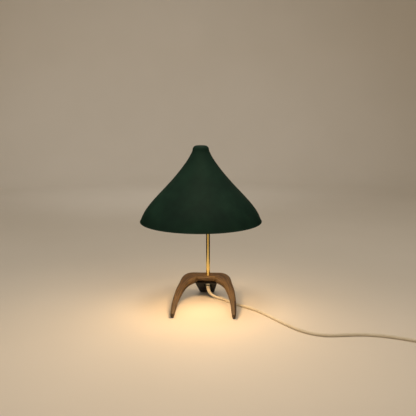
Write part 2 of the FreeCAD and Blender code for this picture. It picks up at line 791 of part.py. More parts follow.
def coil_spot(turned_by):
    """Middle line of the coil after turned_by turns: spirals in, climbs half a turn, spirals out."""
    inward = (coil_turns - 0.5) / 2
    if turned_by <= inward:
        radius, height = coil_radius - coil_step * turned_by, 0.0
    elif turned_by <= inward + 0.5:
        share = (turned_by - inward) / 0.5
        radius = coil_radius - coil_step * (inward + 0.25 * math.sin(math.pi * share))
        height = coil_rise * (3 * share ** 2 - 2 * share ** 3)
    else:
        radius, height = coil_radius - coil_step * (coil_turns - turned_by), coil_rise
    angle = math.radians(coil_start) + 2 * math.pi * turned_by
    low = cord_diameter / 2 + coil_lift
    return on_base((
        coil_centre[0] + radius * math.cos(angle),
        coil_centre[1] + radius * math.sin(angle),
        low + height,
    ))


def biarc(p1, t1, p2, t2):
    v = p2 - p1
    t = t1 + t2
    spread = 2 * (1 - t1.dot(t2))
    d = (-v.dot(t) + math.sqrt(v.dot(t) ** 2 + spread * v.dot(v))) / spread
    q1, q2 = p1 + t1 * d, p2 - t2 * d
    joint = (q1 + q2) / 2
    edges = []
    for a, q, b in ((p1, q1, joint), (joint, q2, p2)):
        weight = (b - a).Length / 2 / (q - a).Length
        edges.append(Part.Arc(a, (a + q * (2 * weight) + b) / (2 + 2 * weight), b).toShape())
    return edges


def make_coil():
    quarter = 0.25
    count = round(coil_turns / quarter)
    spots = [coil_turns * k / count for k in range(count + 1)]
    step = 1e-4
    points = [coil_spot(s) for s in spots]
    ways = []
    for s in spots:
        a, b = max(s - step, 0), min(s + step, coil_turns)
        ways.append((coil_spot(b) - coil_spot(a)).normalize())
    first = points[0] - ways[0] * cord_diameter
    last = points[-1] + ways[-1] * cord_diameter
    edges = [Part.LineSegment(first, points[0]).toShape()]
    for k in range(count):
        edges += biarc(points[k], ways[k], points[k + 1], ways[k + 1])
    edges.append(Part.LineSegment(points[-1], last).toShape())
    path = Part.Wire(edges)
    circle = Part.Wire([Part.makeCircle(cord_diameter / 2, first, ways[0])])
    coil = path.makePipeShell([circle], True, False)
    expected = math.pi * cord_diameter ** 2 / 4 * path.Length
    print(f"cord_coil: length {path.Length:.1f}, volume over section x length {coil.Volume / expected:.4f}")
    samples = [coil_spot(coil_turns * k / 600) for k in range(601)]
    least = 1e9
    for i in range(0, 601, 2):
        for j in range(i + 60, 601):
            least = min(least, (samples[i] - samples[j]).Length)
    print(f"cord_coil: least gap to itself {least - cord_diameter:.2f} mm")
    save("cord_coil", coil)
    return path.Length, first, last, ways[-1]


def make_tie():
    """A flat strap round the bundle, at tie_angle."""
    angle = math.radians(tie_angle)
    radii = []
    for k in range(2000):
        turned_by = coil_turns * k / 2000
        offset = (math.degrees(2 * math.pi * turned_by) + coil_start - tie_angle) % 360
        if min(offset, 360 - offset) < 8:
            spot = coil_spot(turned_by)
            radii.append((spot - on_base((*coil_centre, spot.z))).Length)
    inside = min(radii) - cord_diameter / 2 - tie_slack
    outside = max(radii) + cord_diameter / 2 + tie_slack
    low, high = coil_lift, coil_lift + cord_diameter + coil_rise + tie_slack
    block = Part.makeBox(
        outside - inside + 2 * tie_thickness,
        tie_width,
        high - low + 2 * tie_thickness,
        Vector(inside - tie_thickness, -tie_width / 2, low - tie_thickness),
    )
    hollow = Part.makeBox(outside - inside, tie_width + 2, high - low, Vector(inside, -tie_width / 2 - 1, low))
    edges = [e for e in block.Edges if abs(e.tangentAt(e.FirstParameter).y) > 0.99]
    block = block.makeFillet(2.5, edges)
    edges = [e for e in hollow.Edges if abs(e.tangentAt(e.FirstParameter).y) > 0.99]
    hollow = hollow.makeFillet(1.5, edges)
    tie = block.cut(hollow)
    tie.rotate(Vector(0, 0, 0), Vector(0, 0, 1), tie_angle)
    tie.translate(on_base((*coil_centre, 0)))
    save("cord_tie", tie)


def make_cord():
    coil_length, coil_first, coil_last, way = make_coil()
    exit_height = stem_end_height - bushing_height
    route = [on_base(p) for p in [(0, 0, exit_height)] + cord_points] + [coil_first]
    lead = cord_tube("cord_lead", route)
    level = Vector(way.x, way.y, 0).normalize()
    plug_axis = plug_thickness / 2
    end = coil_last + level * tail_drop
    end.z = plug_axis
    middle_one = coil_last + level * (tail_drop * 0.34) + Vector(-level.y, level.x, 0) * 0.6
    middle_one.z = coil_last.z - 0.9
    middle_two = coil_last + level * (tail_drop * 0.68) + Vector(-level.y, level.x, 0) * 0.5
    middle_two.z = plug_axis + 0.9
    tail = cord_tube("cord_tail", [coil_last, middle_one, middle_two, end])
    total = lead + coil_length + tail
    print(f"cord from the hub to the plug {total:.0f} of {cord_length:.0f} mm")
    make_plug(end, level)


def make_plug(end, level):
    """Two flat-sided halves moulded round the cord, lying flat, with its collar towards the cord."""
    collar = Part.makeCone(
        cord_diameter / 2 + 0.8, plug_collar_diameter / 2, plug_collar_length, Vector(0, 0, 0), Vector(1, 0, 0)
    )
    start = plug_collar_length - 2
    body = Part.makeBox(
        plug_length, plug_width, plug_thickness, Vector(start, -plug_width / 2, -plug_thickness / 2)
    )
    long_edges = [e for e in body.Edges if abs(e.tangentAt(e.FirstParameter).x) > 0.99]
    body = body.makeFillet(plug_edge_radius, long_edges)
    plug = body.fuse(collar).removeSplitter()
    face = start + plug_length
    pins = []
    for side in (-1, 1):
        at = (face - pin_seat, side * pin_spacing / 2, 0)
        pin = rod(pin_diameter / 2, pin_seat + pin_length - 1, at, (1, 0, 0))
        tip = Part.makeCone(
            pin_diameter / 2,
            pin_diameter / 2 - 0.7,
            1,
            Vector(face + pin_length - 1, side * pin_spacing / 2, 0),
            Vector(1, 0, 0),
        )
        pins.append(pin.fuse(tip).removeSplitter())
        plug = plug.cut(rod(pin_diameter / 2, pin_seat + 1, at, (1, 0, 0)))
    turn = math.degrees(math.atan2(level.y, level.x))
    place = Placement(end, Rotation(Vector(0, 0, 1), turn))
    save("plug_body", plug, place)
    save("plug_pins", Part.Compound(pins), place)


make_base()
make_stem_fixings()
make_stem()
make_knuckle()
make_shade()
make_carrier()
make_bulb(make_lampholder())
make_cord()
make_tie()
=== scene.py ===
import json
import math
import bpy
import bmesh
import numpy as np
from mathutils import Matrix, Vector


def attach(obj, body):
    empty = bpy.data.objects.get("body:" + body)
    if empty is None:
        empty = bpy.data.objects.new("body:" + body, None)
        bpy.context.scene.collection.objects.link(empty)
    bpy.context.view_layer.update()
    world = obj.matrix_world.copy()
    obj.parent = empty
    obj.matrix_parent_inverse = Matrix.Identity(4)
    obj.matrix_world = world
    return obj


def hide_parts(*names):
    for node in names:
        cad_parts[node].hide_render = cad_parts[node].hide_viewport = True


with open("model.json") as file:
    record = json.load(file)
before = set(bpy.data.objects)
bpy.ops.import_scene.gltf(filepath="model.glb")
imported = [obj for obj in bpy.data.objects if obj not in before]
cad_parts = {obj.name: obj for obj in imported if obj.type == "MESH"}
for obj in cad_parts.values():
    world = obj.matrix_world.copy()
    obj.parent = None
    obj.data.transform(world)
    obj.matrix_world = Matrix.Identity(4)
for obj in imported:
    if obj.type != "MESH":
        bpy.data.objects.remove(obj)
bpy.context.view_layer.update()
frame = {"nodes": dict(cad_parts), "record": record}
scene = bpy.context.scene
mm = 0.001

# the lamp's main places, repeated from its construction
lamp = {
    "armReach": 82.0,       # stem to the shade's axis
    "armSwing": 9.3,        # degrees
    "baseOffset": -4.5,     # the stem stands a little off the base's middle line
    "armHeight": 304.0,     # middle line of the arm's level end
}
swing = math.radians(lamp["armSwing"])
hub = Vector((lamp["armReach"] * math.sin(swing), lamp["armReach"] * math.cos(swing), 0))
armWay = Vector((-math.sin(swing), -math.cos(swing), 0))    # from the stem towards the shade's axis
print("frame loaded, hub at", tuple(round(v, 2) for v in hub))


def addCamera():
    shot = {"place": (82.5, -1388.7, 497.0), "tilt": 79.95, "turn": 2.7, "lens": 51.06, "sensor": 36.0}
    data = bpy.data.cameras.new("photoCamera")
    data.lens = shot["lens"]
    data.sensor_width = shot["sensor"]
    data.clip_start = 0.05
    camera = bpy.data.objects.new("photoCamera", data)
    camera.location = Vector(shot["place"]) * mm
    camera.rotation_euler = (math.radians(shot["tilt"]), 0, math.radians(shot["turn"]))
    scene.collection.objects.link(camera)
    scene.camera = camera


addCamera()

# cord: from the hub to the plug, the same points as the construction, from the stem, in mm
cordRoute = {
    "diameter": 7.0,
    "exitHeight": 33.13,
    "floorPoints": [
        (0.3, -0.4, 22.0), (5.6, -2.0, 11.6), (17.0, -6.3, 5.2), (32.3, -16.1, 3.5), (47.4, -29.9, 3.5),
        (62.0, -49.3, 3.5), (86.0, -68.9, 3.5), (119.4, -95.7, 3.5), (151.4, -137.9, 3.5),
        (182.8, -185.2, 3.5), (215.8, -229.0, 3.5), (259.7, -252.5, 3.5), (307.9, -246.2, 3.5),
        (353.0, -240.5, 3.5), (402.7, -249.8, 3.5), (456.7, -272.8, 3.5),
    ],
    "coilCentre": (526.5, -250.8),
    "coilRadius": 49.4,
    "coilStart": -112.0,     # degrees
    "coilTurns": 4.33,
    "coilStep": 7.8,
    "coilRise": 7.6,
    "coilLift": 1.0,
    "pointsPerTurn": 16,
    "tailLength": 30.0,
    "tailBows": ((0.34, 0.6), (0.68, 0.5)),     # share of the tail's length, and how far it bows out there
    "tailSag": 0.9,
    "plugAxis": 7.0,        # height of the plug's middle
}


def coilSpot(turned):
    c = cordRoute
    inward = (c["coilTurns"] - 0.5) / 2
    if turned <= inward:
        radius, height = c["coilRadius"] - c["coilStep"] * turned, 0.0
    elif turned <= inward + 0.5:
        share = (turned - inward) / 0.5
        radius = c["coilRadius"] - c["coilStep"] * (inward + 0.25 * math.sin(math.pi * share))
        height = c["coilRise"] * (3 * share ** 2 - 2 * share ** 3)
    else:
        radius, height = c["coilRadius"] - c["coilStep"] * (c["coilTurns"] - turned), c["coilRise"]
    angle = math.radians(c["coilStart"]) + 2 * math.pi * turned
    x, y = c["coilCentre"]
    low = c["diameter"] / 2 + c["coilLift"]
    return hub + Vector((x + radius * math.cos(angle), y + radius * math.sin(angle), low + height))


def addCord():
    c = cordRoute
    points = [hub + Vector((0, 0, c["exitHeight"]))] + [hub + Vector(p) for p in c["floorPoints"]]
    count = round(c["coilTurns"] * c["pointsPerTurn"])
    coil = [coilSpot(c["coilTurns"] * k / count) for k in range(count + 1)]
    wayIn = (coil[1] - coil[0]).normalized()
    points.append(coil[0] - wayIn * c["diameter"])
    points += coil
    way = (coil[-1] - coilSpot(c["coilTurns"] - 0.001)).normalized()
    last = coil[-1] + way * c["diameter"]
    level = Vector((way.x, way.y, 0)).normalized()
    bow = Vector((-level.y, level.x, 0))
    dips = [last + level * (c["tailLength"] * share) + bow * out for share, out in c["tailBows"]]
    dips[0].z, dips[1].z = last.z - c["tailSag"], c["plugAxis"] + c["tailSag"]
    end = last + level * c["tailLength"]
    end.z = c["plugAxis"]
    points += [last, *dips, end]
    curve = bpy.data.curves.new("mainsCord", "CURVE")
    curve.dimensions = "3D"
    spline = curve.splines.new("NURBS")
    spline.points.add(len(points) - 1)
    for spot, point in zip(spline.points, points):
        spot.co = (*(point * mm), 1.0)
    spline.order_u = 3
    spline.use_endpoint_u = True
    spline.resolution_u = 6
    cord = bpy.data.objects.new("mainsCord", curve)
    scene.collection.objects.link(cord)
    bpy.context.view_layer.update()
    bare = bpy.data.meshes.new_from_object(cord.evaluated_get(bpy.context.evaluated_depsgraph_get()))
    line = np.array([v.co[:] for v in bare.vertices])
    bpy.data.meshes.remove(bare)
    curve.bevel_depth = c["diameter"] / 2 * mm
    curve.bevel_resolution = 6
    curve.use_fill_caps = True
    return cord, line, end, level


cord, cordLine, plugStart, plugWay = addCord()
print("camera and cord placed")


def linearColour(code, alpha=1.0):
    parts = [int(code[i:i + 2], 16) / 255 for i in (1, 3, 5)]
    return tuple(p / 12.92 if p <= 0.04045 else ((p + 0.055) / 1.055) ** 2.4 for p in parts) + (alpha,)


def connect(tree, node, links):
    for name, source in links.items():
        tree.links.new(source.outputs[0] if hasattr(source, "outputs") else source, node.inputs[name])


def addNode(tree, kind, settings=None, links=None):
    node = tree.nodes.new(kind)
    for name, value in (settings or {}).items():
        # a name in lower case is the node's own setting, and any other name or number is a socket's
        if name == "stops":
            band = node.color_ramp
            while len(band.elements) < len(value):
                band.elements.new(0.5)
            for element, (position, code) in zip(band.elements, value):
                element.position = position
                element.color = linearColour(code)
        elif isinstance(name, str) and name[0].islower():
            setattr(node, name, value)
        else:
            node.inputs[name].default_value = value
    connect(tree, node, links or {})
    return node


def newMaterial(name, settings):
    material = bpy.data.materials.new(name)
    material.use_nodes = True
    tree = material.node_tree
    shader = tree.nodes["Principled BSDF"]
    for socket, value in settings.items():
        shader.inputs[socket].default_value = value
    return material, tree, shader


def perMm(x, y, z):
    # a Mapping scale that makes one unit of pattern this many mm long
    return (1000 / x, 1000 / y, 1000 / z)


def meshFrom(name, vertices, faces):
    mesh = bpy.data.meshes.new(name)
    mesh.from_pydata([tuple(v) for v in vertices], [], [tuple(f) for f in faces])
    mesh.update()
    piece = bpy.data.objects.new(name, mesh)
    scene.collection.objects.link(piece)
    return piece


def tidyMesh(piece, merge=1e-6, sharpAngle=35):
    # merged, facing out and smooth but for its sharp edges
    work = bmesh.new()
    work.from_mesh(piece.data)
    bmesh.ops.remove_doubles(work, verts=work.verts, dist=merge)
    bmesh.ops.recalc_face_normals(work, faces=work.faces)
    if work.calc_volume(signed=True) < 0:
        bmesh.ops.reverse_faces(work, faces=work.faces)
    for face in work.faces:
        face.smooth = True
    work.to_mesh(piece.data)
    work.free()
    piece.data.set_sharp_from_angle(angle=math.radians(sharpAngle))


def bakeModifiers(piece):
    bpy.context.view_layer.update()
    shape = piece.evaluated_get(bpy.context.evaluated_depsgraph_get())
    mesh = bpy.data.meshes.new_from_object(shape)
    piece.modifiers.clear()
    old = piece.data
    piece.data = mesh
    bpy.data.meshes.remove(old)
    mesh.name = piece.name


def cutAway(piece, cutter):
    # takes a closed shape out of a piece
    cut = piece.modifiers.new("cut", "BOOLEAN")
    cut.operation = "DIFFERENCE"
    cut.solver = "EXACT"
    cut.object = cutter
    bakeModifiers(piece)
    bpy.data.objects.remove(cutter)


def trimBelow(piece, point, normal):
    # cuts a closed piece by a plane, keeps the side that the normal points to, and closes it
    work = bmesh.new()
    work.from_mesh(piece.data)
    everything = list(work.verts) + list(work.edges) + list(work.faces)
    cut = bmesh.ops.bisect_plane(work, geom=everything, plane_co=point, plane_no=normal, clear_inner=True)
    rim = [e for e in cut["geom_cut"] if isinstance(e, bmesh.types.BMEdge)]
    bmesh.ops.holes_fill(work, edges=rim)
    work.to_mesh(piece.data)
    work.free()


def storeOnPoints(piece, name, kind, values):
    layer = piece.data.attributes.new(name, kind, "POINT")
    layer.data.foreach_set("vector" if kind == "FLOAT_VECTOR" else "value", values)


def closedRod(name, radius, low, high, centre, steps=64):
    ring = [(math.cos(2 * math.pi * k / steps), math.sin(2 * math.pi * k / steps)) for k in range(steps)]
    corners = [(centre[0] + radius * x, centre[1] + radius * y, z) for z in (low, high) for x, y in ring]
    faces = [(k, (k + 1) % steps, steps + (k + 1) % steps, steps + k) for k in range(steps)]
    faces += [tuple(range(steps))[::-1], tuple(range(steps, 2 * steps))]
    return meshFrom(name, [Vector(c) * mm for c in corners], faces)


def smoothThrough(points, perSpan):
    # a natural cubic spline through given points, paced by the distance between them
    spots = np.array(points, float)
    gaps = np.linalg.norm(np.diff(spots[:, :2], axis=0), axis=1)
    size = len(spots)
    left, right = np.eye(size), np.zeros(spots.shape)
    for k in range(1, size - 1):
        left[k, k - 1:k + 2] = gaps[k - 1], 2 * (gaps[k - 1] + gaps[k]), gaps[k]
        right[k] = 6 * ((spots[k + 1] - spots[k]) / gaps[k] - (spots[k] - spots[k - 1]) / gaps[k - 1])
    bend = np.linalg.solve(left, right)
    line = [spots[0]]
    for k, gap in enumerate(gaps):
        for share in np.arange(1, perSpan + 1) / perSpan:
            near, far = 1 - share, share
            curve = (near ** 3 - near) * bend[k] + (far ** 3 - far) * bend[k + 1]
            line.append(near * spots[k] + far * spots[k + 1] + curve * gap ** 2 / 6)
    return np.array(line)


def loftRings(name, rings):
    # rings of equal counts, joined into a closed skin
    count = len(rings[0])
    vertices = [p for ring in rings for p in ring]
    faces = []
    for k in range(len(rings) - 1):
        for j in range(count):
            n = (j + 1) % count
            faces.append((k * count + j, k * count + n, (k + 1) * count + n, (k + 1) * count + j))
    faces.append(tuple(range(count))[::-1])
    faces.append(tuple(range((len(rings) - 1) * count, len(rings) * count)))
    return meshFrom(name, vertices, faces)


def roundedLoop(width, height, corner, steps):
    # a rectangle with round corners: two points lie on each straight side, the others on the corners
    a, b = width / 2, height / 2
    r = min(corner, a * 0.98, b * 0.98)
    arc = steps // 4 - 2
    quarters = ((1, 1), (-1, 1), (-1, -1), (1, -1))

    def spot(quarter, turn):
        x, y = quarters[quarter % 4]
        return (x * (a - r) + r * math.cos(turn), y * (b - r) + r * math.sin(turn))

    loop = []
    for k in range(4):
        loop += [spot(k, math.pi / 2 * (k + j / (arc - 1))) for j in range(arc)]
        last, following = loop[-1], spot(k + 1, math.pi / 2 * (k + 1))
        for share in (1 / 3, 2 / 3):
            loop.append(tuple(p + (q - p) * share for p, q in zip(last, following)))
    return loop


def stovedGreenEnamel():
    # stove enamel on spun steel: deep green, satin, with the faint rings of the spinning under it, which are
    # drawn wider apart than real ones so that they show
    look = {
        "dark": "#142720", "middle": "#193026", "light": "#1f392d", "rough": (0.54, 0.68),
        "ring": 3.2, "around": 900.0, "peel": 0.9, "cloud": 70.0,       # in mm
    }
    material, tree, shader = newMaterial("stovedGreenEnamel", {
        "Roughness": 0.6, "Specular IOR Level": 0.07,
    })
    where = addNode(tree, "ShaderNodeTexCoord").outputs["Object"]
    cloudy = addNode(tree, "ShaderNodeMapping", {"Scale": perMm(*[look["cloud"]] * 3)}, {"Vector": where})
    cloud = addNode(tree, "ShaderNodeTexNoise", {"Scale": 1.0, "Detail": 3.0, "Roughness": 0.6}, {
        "Vector": cloudy,
    })
    tone = addNode(tree, "ShaderNodeValToRGB", {
        "stops": [(0.3, look["dark"]), (0.52, look["middle"]), (0.75, look["light"])],
    }, {"Fac": cloud})
    connect(tree, shader, {"Base Color": tone})
    low, high = look["rough"]
    rough = addNode(tree, "ShaderNodeMapRange", {"To Min": low, "To Max": high}, {"Value": cloud})
    connect(tree, shader, {"Roughness": rough})
    ringScale = {"Scale": perMm(look["around"], look["around"], look["ring"])}
    ringed = addNode(tree, "ShaderNodeMapping", ringScale, {"Vector": where})
    rings = addNode(tree, "ShaderNodeTexNoise", {"Scale": 1.0, "Detail": 2.0}, {"Vector": ringed})
    spinning = addNode(tree, "ShaderNodeBump", {"Strength": 0.5, "Distance": 0.00004}, {"Height": rings})
    grained = addNode(tree, "ShaderNodeMapping", {"Scale": perMm(*[look["peel"]] * 3)}, {"Vector": where})
    peel = addNode(tree, "ShaderNodeTexNoise", {"Scale": 1.0, "Detail": 2.0}, {"Vector": grained})
    skin = addNode(tree, "ShaderNodeBump", {"Strength": 0.4, "Distance": 0.00003}, {
        "Height": peel, "Normal": spinning,
    })
    connect(tree, shader, {"Normal": skin})
    return material


def whiteReflectorEnamel():
    # the shade's inside: matt white enamel, clouded a little warmer by the lamp's heat
    material, tree, shader = newMaterial("whiteReflectorEnamel", {"Roughness": 0.55})
    where = addNode(tree, "ShaderNodeTexCoord").outputs["Object"]
    cloudy = addNode(tree, "ShaderNodeMapping", {"Scale": perMm(55, 55, 30)}, {"Vector": where})
    cloud = addNode(tree, "ShaderNodeTexNoise", {"Scale": 1.0, "Detail": 4.0}, {"Vector": cloudy})
    tone = addNode(tree, "ShaderNodeValToRGB", {
        "stops": [(0.3, "#e2ddcf"), (0.7, "#ece8dd")],
    }, {"Fac": cloud})
    connect(tree, shader, {"Base Color": tone})
    peel = addNode(tree, "ShaderNodeTexNoise", {"Scale": 900.0, "Detail": 1.0}, {"Vector": where})
    skin = addNode(tree, "ShaderNodeBump", {"Strength": 0.4, "Distance": 0.00004}, {"Height": peel})
    connect(tree, shader, {"Normal": skin})
    return material


def oiledHardwood(name, tones, rough, coordinates):
    # oiled hardwood, sanded fine: growth lines and short pores run with the grain and edges are rubbed lighter;
    # fibres and pores are drawn a little wider than real ones so that they show
    material, tree, shader = newMaterial(name, {"Roughness": rough, "Specular IOR Level": 0.35})
    if coordinates == "grain":      # along, across and up through the wood, in mm
        way = addNode(tree, "ShaderNodeAttribute", {"attribute_name": "grain"}).outputs["Vector"]
        unit = 1.0
    else:
        way = addNode(tree, "ShaderNodeTexCoord").outputs["Object"]
        unit = 1000.0
    slow = addNode(tree, "ShaderNodeMapping", {"Scale": (unit / 75, unit / 16, unit / 16)}, {"Vector": way})
    drift = addNode(tree, "ShaderNodeTexNoise", {"Scale": 1.0, "Detail": 3.0, "Roughness": 0.55}, {
        "Vector": slow,
    })
    lineScale = {"Scale": (unit / 300, unit / 9.0, unit / 14.0)}
    lined = addNode(tree, "ShaderNodeMapping", lineScale, {"Vector": way})
    bent = addNode(tree, "ShaderNodeVectorMath", {"operation": "MULTIPLY_ADD", 1: (0.0, 1.1, 1.1)}, {
        0: drift, 2: lined,
    })
    growth = addNode(tree, "ShaderNodeTexWave", {
        "wave_type": "BANDS", "bands_direction": "DIAGONAL",
        "Scale": 1.0, "Distortion": 1.2, "Detail": 2.0,
    }, {"Vector": bent})
    fine = addNode(tree, "ShaderNodeMapping", {"Scale": (unit / 26, unit / 0.9, unit / 0.9)}, {"Vector": way})
    fibre = addNode(tree, "ShaderNodeTexNoise", {"Scale": 1.0, "Detail": 4.0, "Roughness": 0.65}, {
        "Vector": fine,
    })
    mixed = addNode(tree, "ShaderNodeMath", {"operation": "MULTIPLY_ADD", 1: 0.35}, {
        0: growth.outputs["Fac"], 2: drift,
    })
    whole = addNode(tree, "ShaderNodeMath", {"operation": "MULTIPLY_ADD", 1: 0.45}, {0: fibre, 2: mixed})
    tone = addNode(tree, "ShaderNodeValToRGB", {
        "stops": [(0.52, tones[0]), (0.74, tones[1]), (0.92, tones[2]), (1.0, tones[3])],
    }, {"Fac": whole})
    poreScale = {"Scale": (unit / 5.5, unit / 0.42, unit / 0.42)}
    pored = addNode(tree, "ShaderNodeMapping", poreScale, {"Vector": way})
    pores = addNode(tree, "ShaderNodeTexNoise", {"Scale": 1.0, "Detail": 1.0}, {"Vector": pored})
    pits = addNode(tree, "ShaderNodeMapRange", {"From Min": 0.62, "From Max": 0.7}, {"Value": pores})
    darker = addNode(tree, "ShaderNodeMixRGB", {"blend_type": "MULTIPLY", "Color2": linearColour(tones[4])}, {
        "Fac": pits, "Color1": tone,
    })
    if coordinates == "grain":
        worn = addNode(tree, "ShaderNodeAttribute", {"attribute_name": "edge"}).outputs["Fac"]
        wear = addNode(tree, "ShaderNodeMath", {"operation": "MULTIPLY", 1: 0.35}, {0: worn})
        lighter = addNode(tree, "ShaderNodeMixRGB", {"Color2": linearColour(tones[5])}, {
            "Fac": wear, "Color1": darker,
        })
        connect(tree, shader, {"Base Color": lighter})
    else:
        connect(tree, shader, {"Base Color": darker})
    sheen = addNode(tree, "ShaderNodeMapRange", {"To Min": rough - 0.1, "To Max": rough + 0.12}, {
        "Value": fibre,
    })
    connect(tree, shader, {"Roughness": sheen})
    ridges = addNode(tree, "ShaderNodeBump", {"Strength": 0.5, "Distance": 0.00012}, {"Height": fibre})
    holes = addNode(tree, "ShaderNodeBump", {"Strength": 0.6, "Distance": 0.0002, "invert": True}, {
        "Height": pits, "Normal": ridges,
    })
    connect(tree, shader, {"Normal": holes})
    return material


def turnedMetal(name, colours, rough, lineMm, stretch, bump=0.00002):
    # bare or plated metal with the lines of turning, drawing or polishing along or round it, drawn coarser than
    # real ones so that they show
    material, tree, shader = newMaterial(name, {"Metallic": 1.0, "Roughness": rough})
    where = addNode(tree, "ShaderNodeTexCoord").outputs["Object"]
    lineScale = {"Scale": perMm(*[lineMm * s for s in stretch])}
    lined = addNode(tree, "ShaderNodeMapping", lineScale, {"Vector": where})
    lines = addNode(tree, "ShaderNodeTexNoise", {"Scale": 1.0, "Detail": 3.0, "Roughness": 0.6}, {
        "Vector": lined,
    })
    cloud = addNode(tree, "ShaderNodeTexNoise", {"Scale": 60.0, "Detail": 3.0}, {"Vector": where})
    tone = addNode(tree, "ShaderNodeValToRGB", {
        "stops": [(0.35, colours[0]), (0.65, colours[1])],
    }, {"Fac": cloud})
    connect(tree, shader, {"Base Color": tone})
    gloss = addNode(tree, "ShaderNodeMapRange", {"To Min": rough * 0.75, "To Max": rough * 1.35}, {
        "Value": lines,
    })
    connect(tree, shader, {"Roughness": gloss})
    relief = addNode(tree, "ShaderNodeBump", {"Strength": 0.4, "Distance": bump}, {"Height": lines})
    connect(tree, shader, {"Normal": relief})
    return material


def mouldedPlastic(name, colours, rough, grainMm, bump, extra=None):
    # moulded polymer, fibre or glaze: nearly even colour, a few duller clouds from handling, and a skin drawn
    # a little coarser than it is so that it shows
    material, tree, shader = newMaterial(name, {"Roughness": rough, **(extra or {})})
    where = addNode(tree, "ShaderNodeTexCoord").outputs["Object"]
    cloud = addNode(tree, "ShaderNodeTexNoise", {"Scale": 45.0, "Detail": 4.0, "Roughness": 0.6}, {
        "Vector": where,
    })
    tone = addNode(tree, "ShaderNodeValToRGB", {
        "stops": [(0.32, colours[0]), (0.68, colours[1])],
    }, {"Fac": cloud})
    connect(tree, shader, {"Base Color": tone})
    gloss = addNode(tree, "ShaderNodeMapRange", {"To Min": rough - 0.06, "To Max": rough + 0.08}, {
        "Value": cloud,
    })
    connect(tree, shader, {"Roughness": gloss})
    grained = addNode(tree, "ShaderNodeMapping", {"Scale": perMm(*[grainMm] * 3)}, {"Vector": where})
    grain = addNode(tree, "ShaderNodeTexNoise", {"Scale": 1.0, "Detail": 2.0}, {"Vector": grained})
    skin = addNode(tree, "ShaderNodeBump", {"Strength": 0.4, "Distance": bump * mm}, {"Height": grain})
    connect(tree, shader, {"Normal": skin})
    return material


def litOpalGlass():
    # opal-coated lamp glass, lit: smooth and milky, with a soft, warm, even glow
    glow = {"colour": "#ffdfae", "strength": 1.2}
    material, tree, shader = newMaterial("litOpalGlass", {
        "Roughness": 0.22,
        "Emission Color": linearColour(glow["colour"]), "Emission Strength": glow["strength"],
    })
    where = addNode(tree, "ShaderNodeTexCoord").outputs["Object"]
    cloud = addNode(tree, "ShaderNodeTexNoise", {"Scale": 120.0, "Detail": 2.0}, {"Vector": where})
    tone = addNode(tree, "ShaderNodeValToRGB", {
        "stops": [(0.3, "#efe9dc"), (0.7, "#f5f0e6")],
    }, {"Fac": cloud})
    connect(tree, shader, {"Base Color": tone})
    return material


def clearLampGlass():
    # drawn soda glass of the bulb's inner stem: clear, with a faint ripple
    material, tree, shader = newMaterial("clearLampGlass", {
        "Base Color": linearColour("#eef4f2"), "Roughness": 0.04, "IOR": 1.5, "Transmission Weight": 0.9,
    })
    where = addNode(tree, "ShaderNodeTexCoord").outputs["Object"]
    ripple = addNode(tree, "ShaderNodeTexNoise", {"Scale": 260.0, "Detail": 1.0}, {"Vector": where})
    skin = addNode(tree, "ShaderNodeBump", {"Strength": 0.2, "Distance": 0.00005}, {"Height": ripple})
    connect(tree, shader, {"Normal": skin})
    return material


# tones of each wood: three of its figure from dark to light, its palest streak, its pores and its rubbed edges
walnutTones = ["#332718", "#473522", "#564128", "#665032", "#6a5a48", "#735c3d"]
# the rear leg's tones are walnut painted nearly black: painted shade for the shadow that the bow casts on the
# leg
legPaintedShadeTones = ["#050403", "#090705", "#0d0a07", "#120e0a", "#5c5046", "#19140e"]
beechTones = ["#a88357", "#bd9869", "#caa87a", "#d4b588", "#8d7a62", "#dcc39b"]
# the finish of each slot in the record
finishes = {
    "shade_paint": stovedGreenEnamel(),
    "bow_wood": oiledHardwood("oiledWalnut", walnutTones, 0.5, "grain"),
    # the rear leg: walnut with painted shade, nearly black
    "leg_wood": oiledHardwood("walnutPaintedInShade", legPaintedShadeTones, 0.5, "grain"),
    "dowel_wood": oiledHardwood("beechDowel", beechTones, 0.6, "object"),
    "stem_brass": turnedMetal("polishedBrassTube", ("#f2d27c", "#f8df96"), 0.12, 0.5, (1, 1, 60)),
    "knuckle_brass": turnedMetal("turnedBrass", ("#dfb75c", "#e8c673"), 0.22, 0.3, (8, 8, 8)),
    "contact_brass": turnedMetal("pressedBrass", ("#bd9440", "#cda552"), 0.3, 0.4, (10, 10, 10)),
    "fixing_steel": turnedMetal("zincPlatedSteel", ("#a3a6a2", "#b9bab0"), 0.36, 0.35, (6, 6, 6)),
    "bulb_metal": turnedMetal("rolledAluminium", ("#b9babb", "#c9cacb"), 0.3, 0.4, (30, 30, 1)),
    "pin_metal": turnedMetal("nickelledBrass", ("#c2bcae", "#d0cabc"), 0.2, 0.4, (1, 20, 20)),
    "filament_metal": turnedMetal("drawnTungsten", ("#6f6d6a", "#7d7b78"), 0.4, 0.2, (10, 1, 1)),
    "pad_rubber": mouldedPlastic("blackRubber", ("#1b1a18", "#26241f"), 0.8, 0.5, 0.06),
    "holder_plastic": mouldedPlastic("blackPhenolic", ("#14120f", "#1e1a16"), 0.34, 0.6, 0.02),
    "cord_pvc": mouldedPlastic("ivoryCordPvc", ("#d5c9b0", "#e0d6c0"), 0.42, 0.8, 0.05),
    "plug_plastic": mouldedPlastic("ivoryPlugPvc", ("#d9cfb8", "#e3dac6"), 0.36, 0.7, 0.03),
    "switch_plastic": mouldedPlastic("creamUrea", ("#ddd0b0", "#e6dabd"), 0.28, 0.9, 0.015),
    "tie_plastic": mouldedPlastic("wovenStrap", ("#c9bda3", "#d6cbb4"), 0.7, 0.45, 0.12),
    "washer_fibre": mouldedPlastic("redFibre", ("#7c3524", "#8e4431"), 0.7, 0.4, 0.05),
    "insert_ceramic": mouldedPlastic("glazedPorcelain", ("#e6e2d8", "#efece4"), 0.14, 2.0, 0.03, {
        "Coat Weight": 0.3,
    }),
    "opal_glass": litOpalGlass(),
    "clear_glass": clearLampGlass(),
}
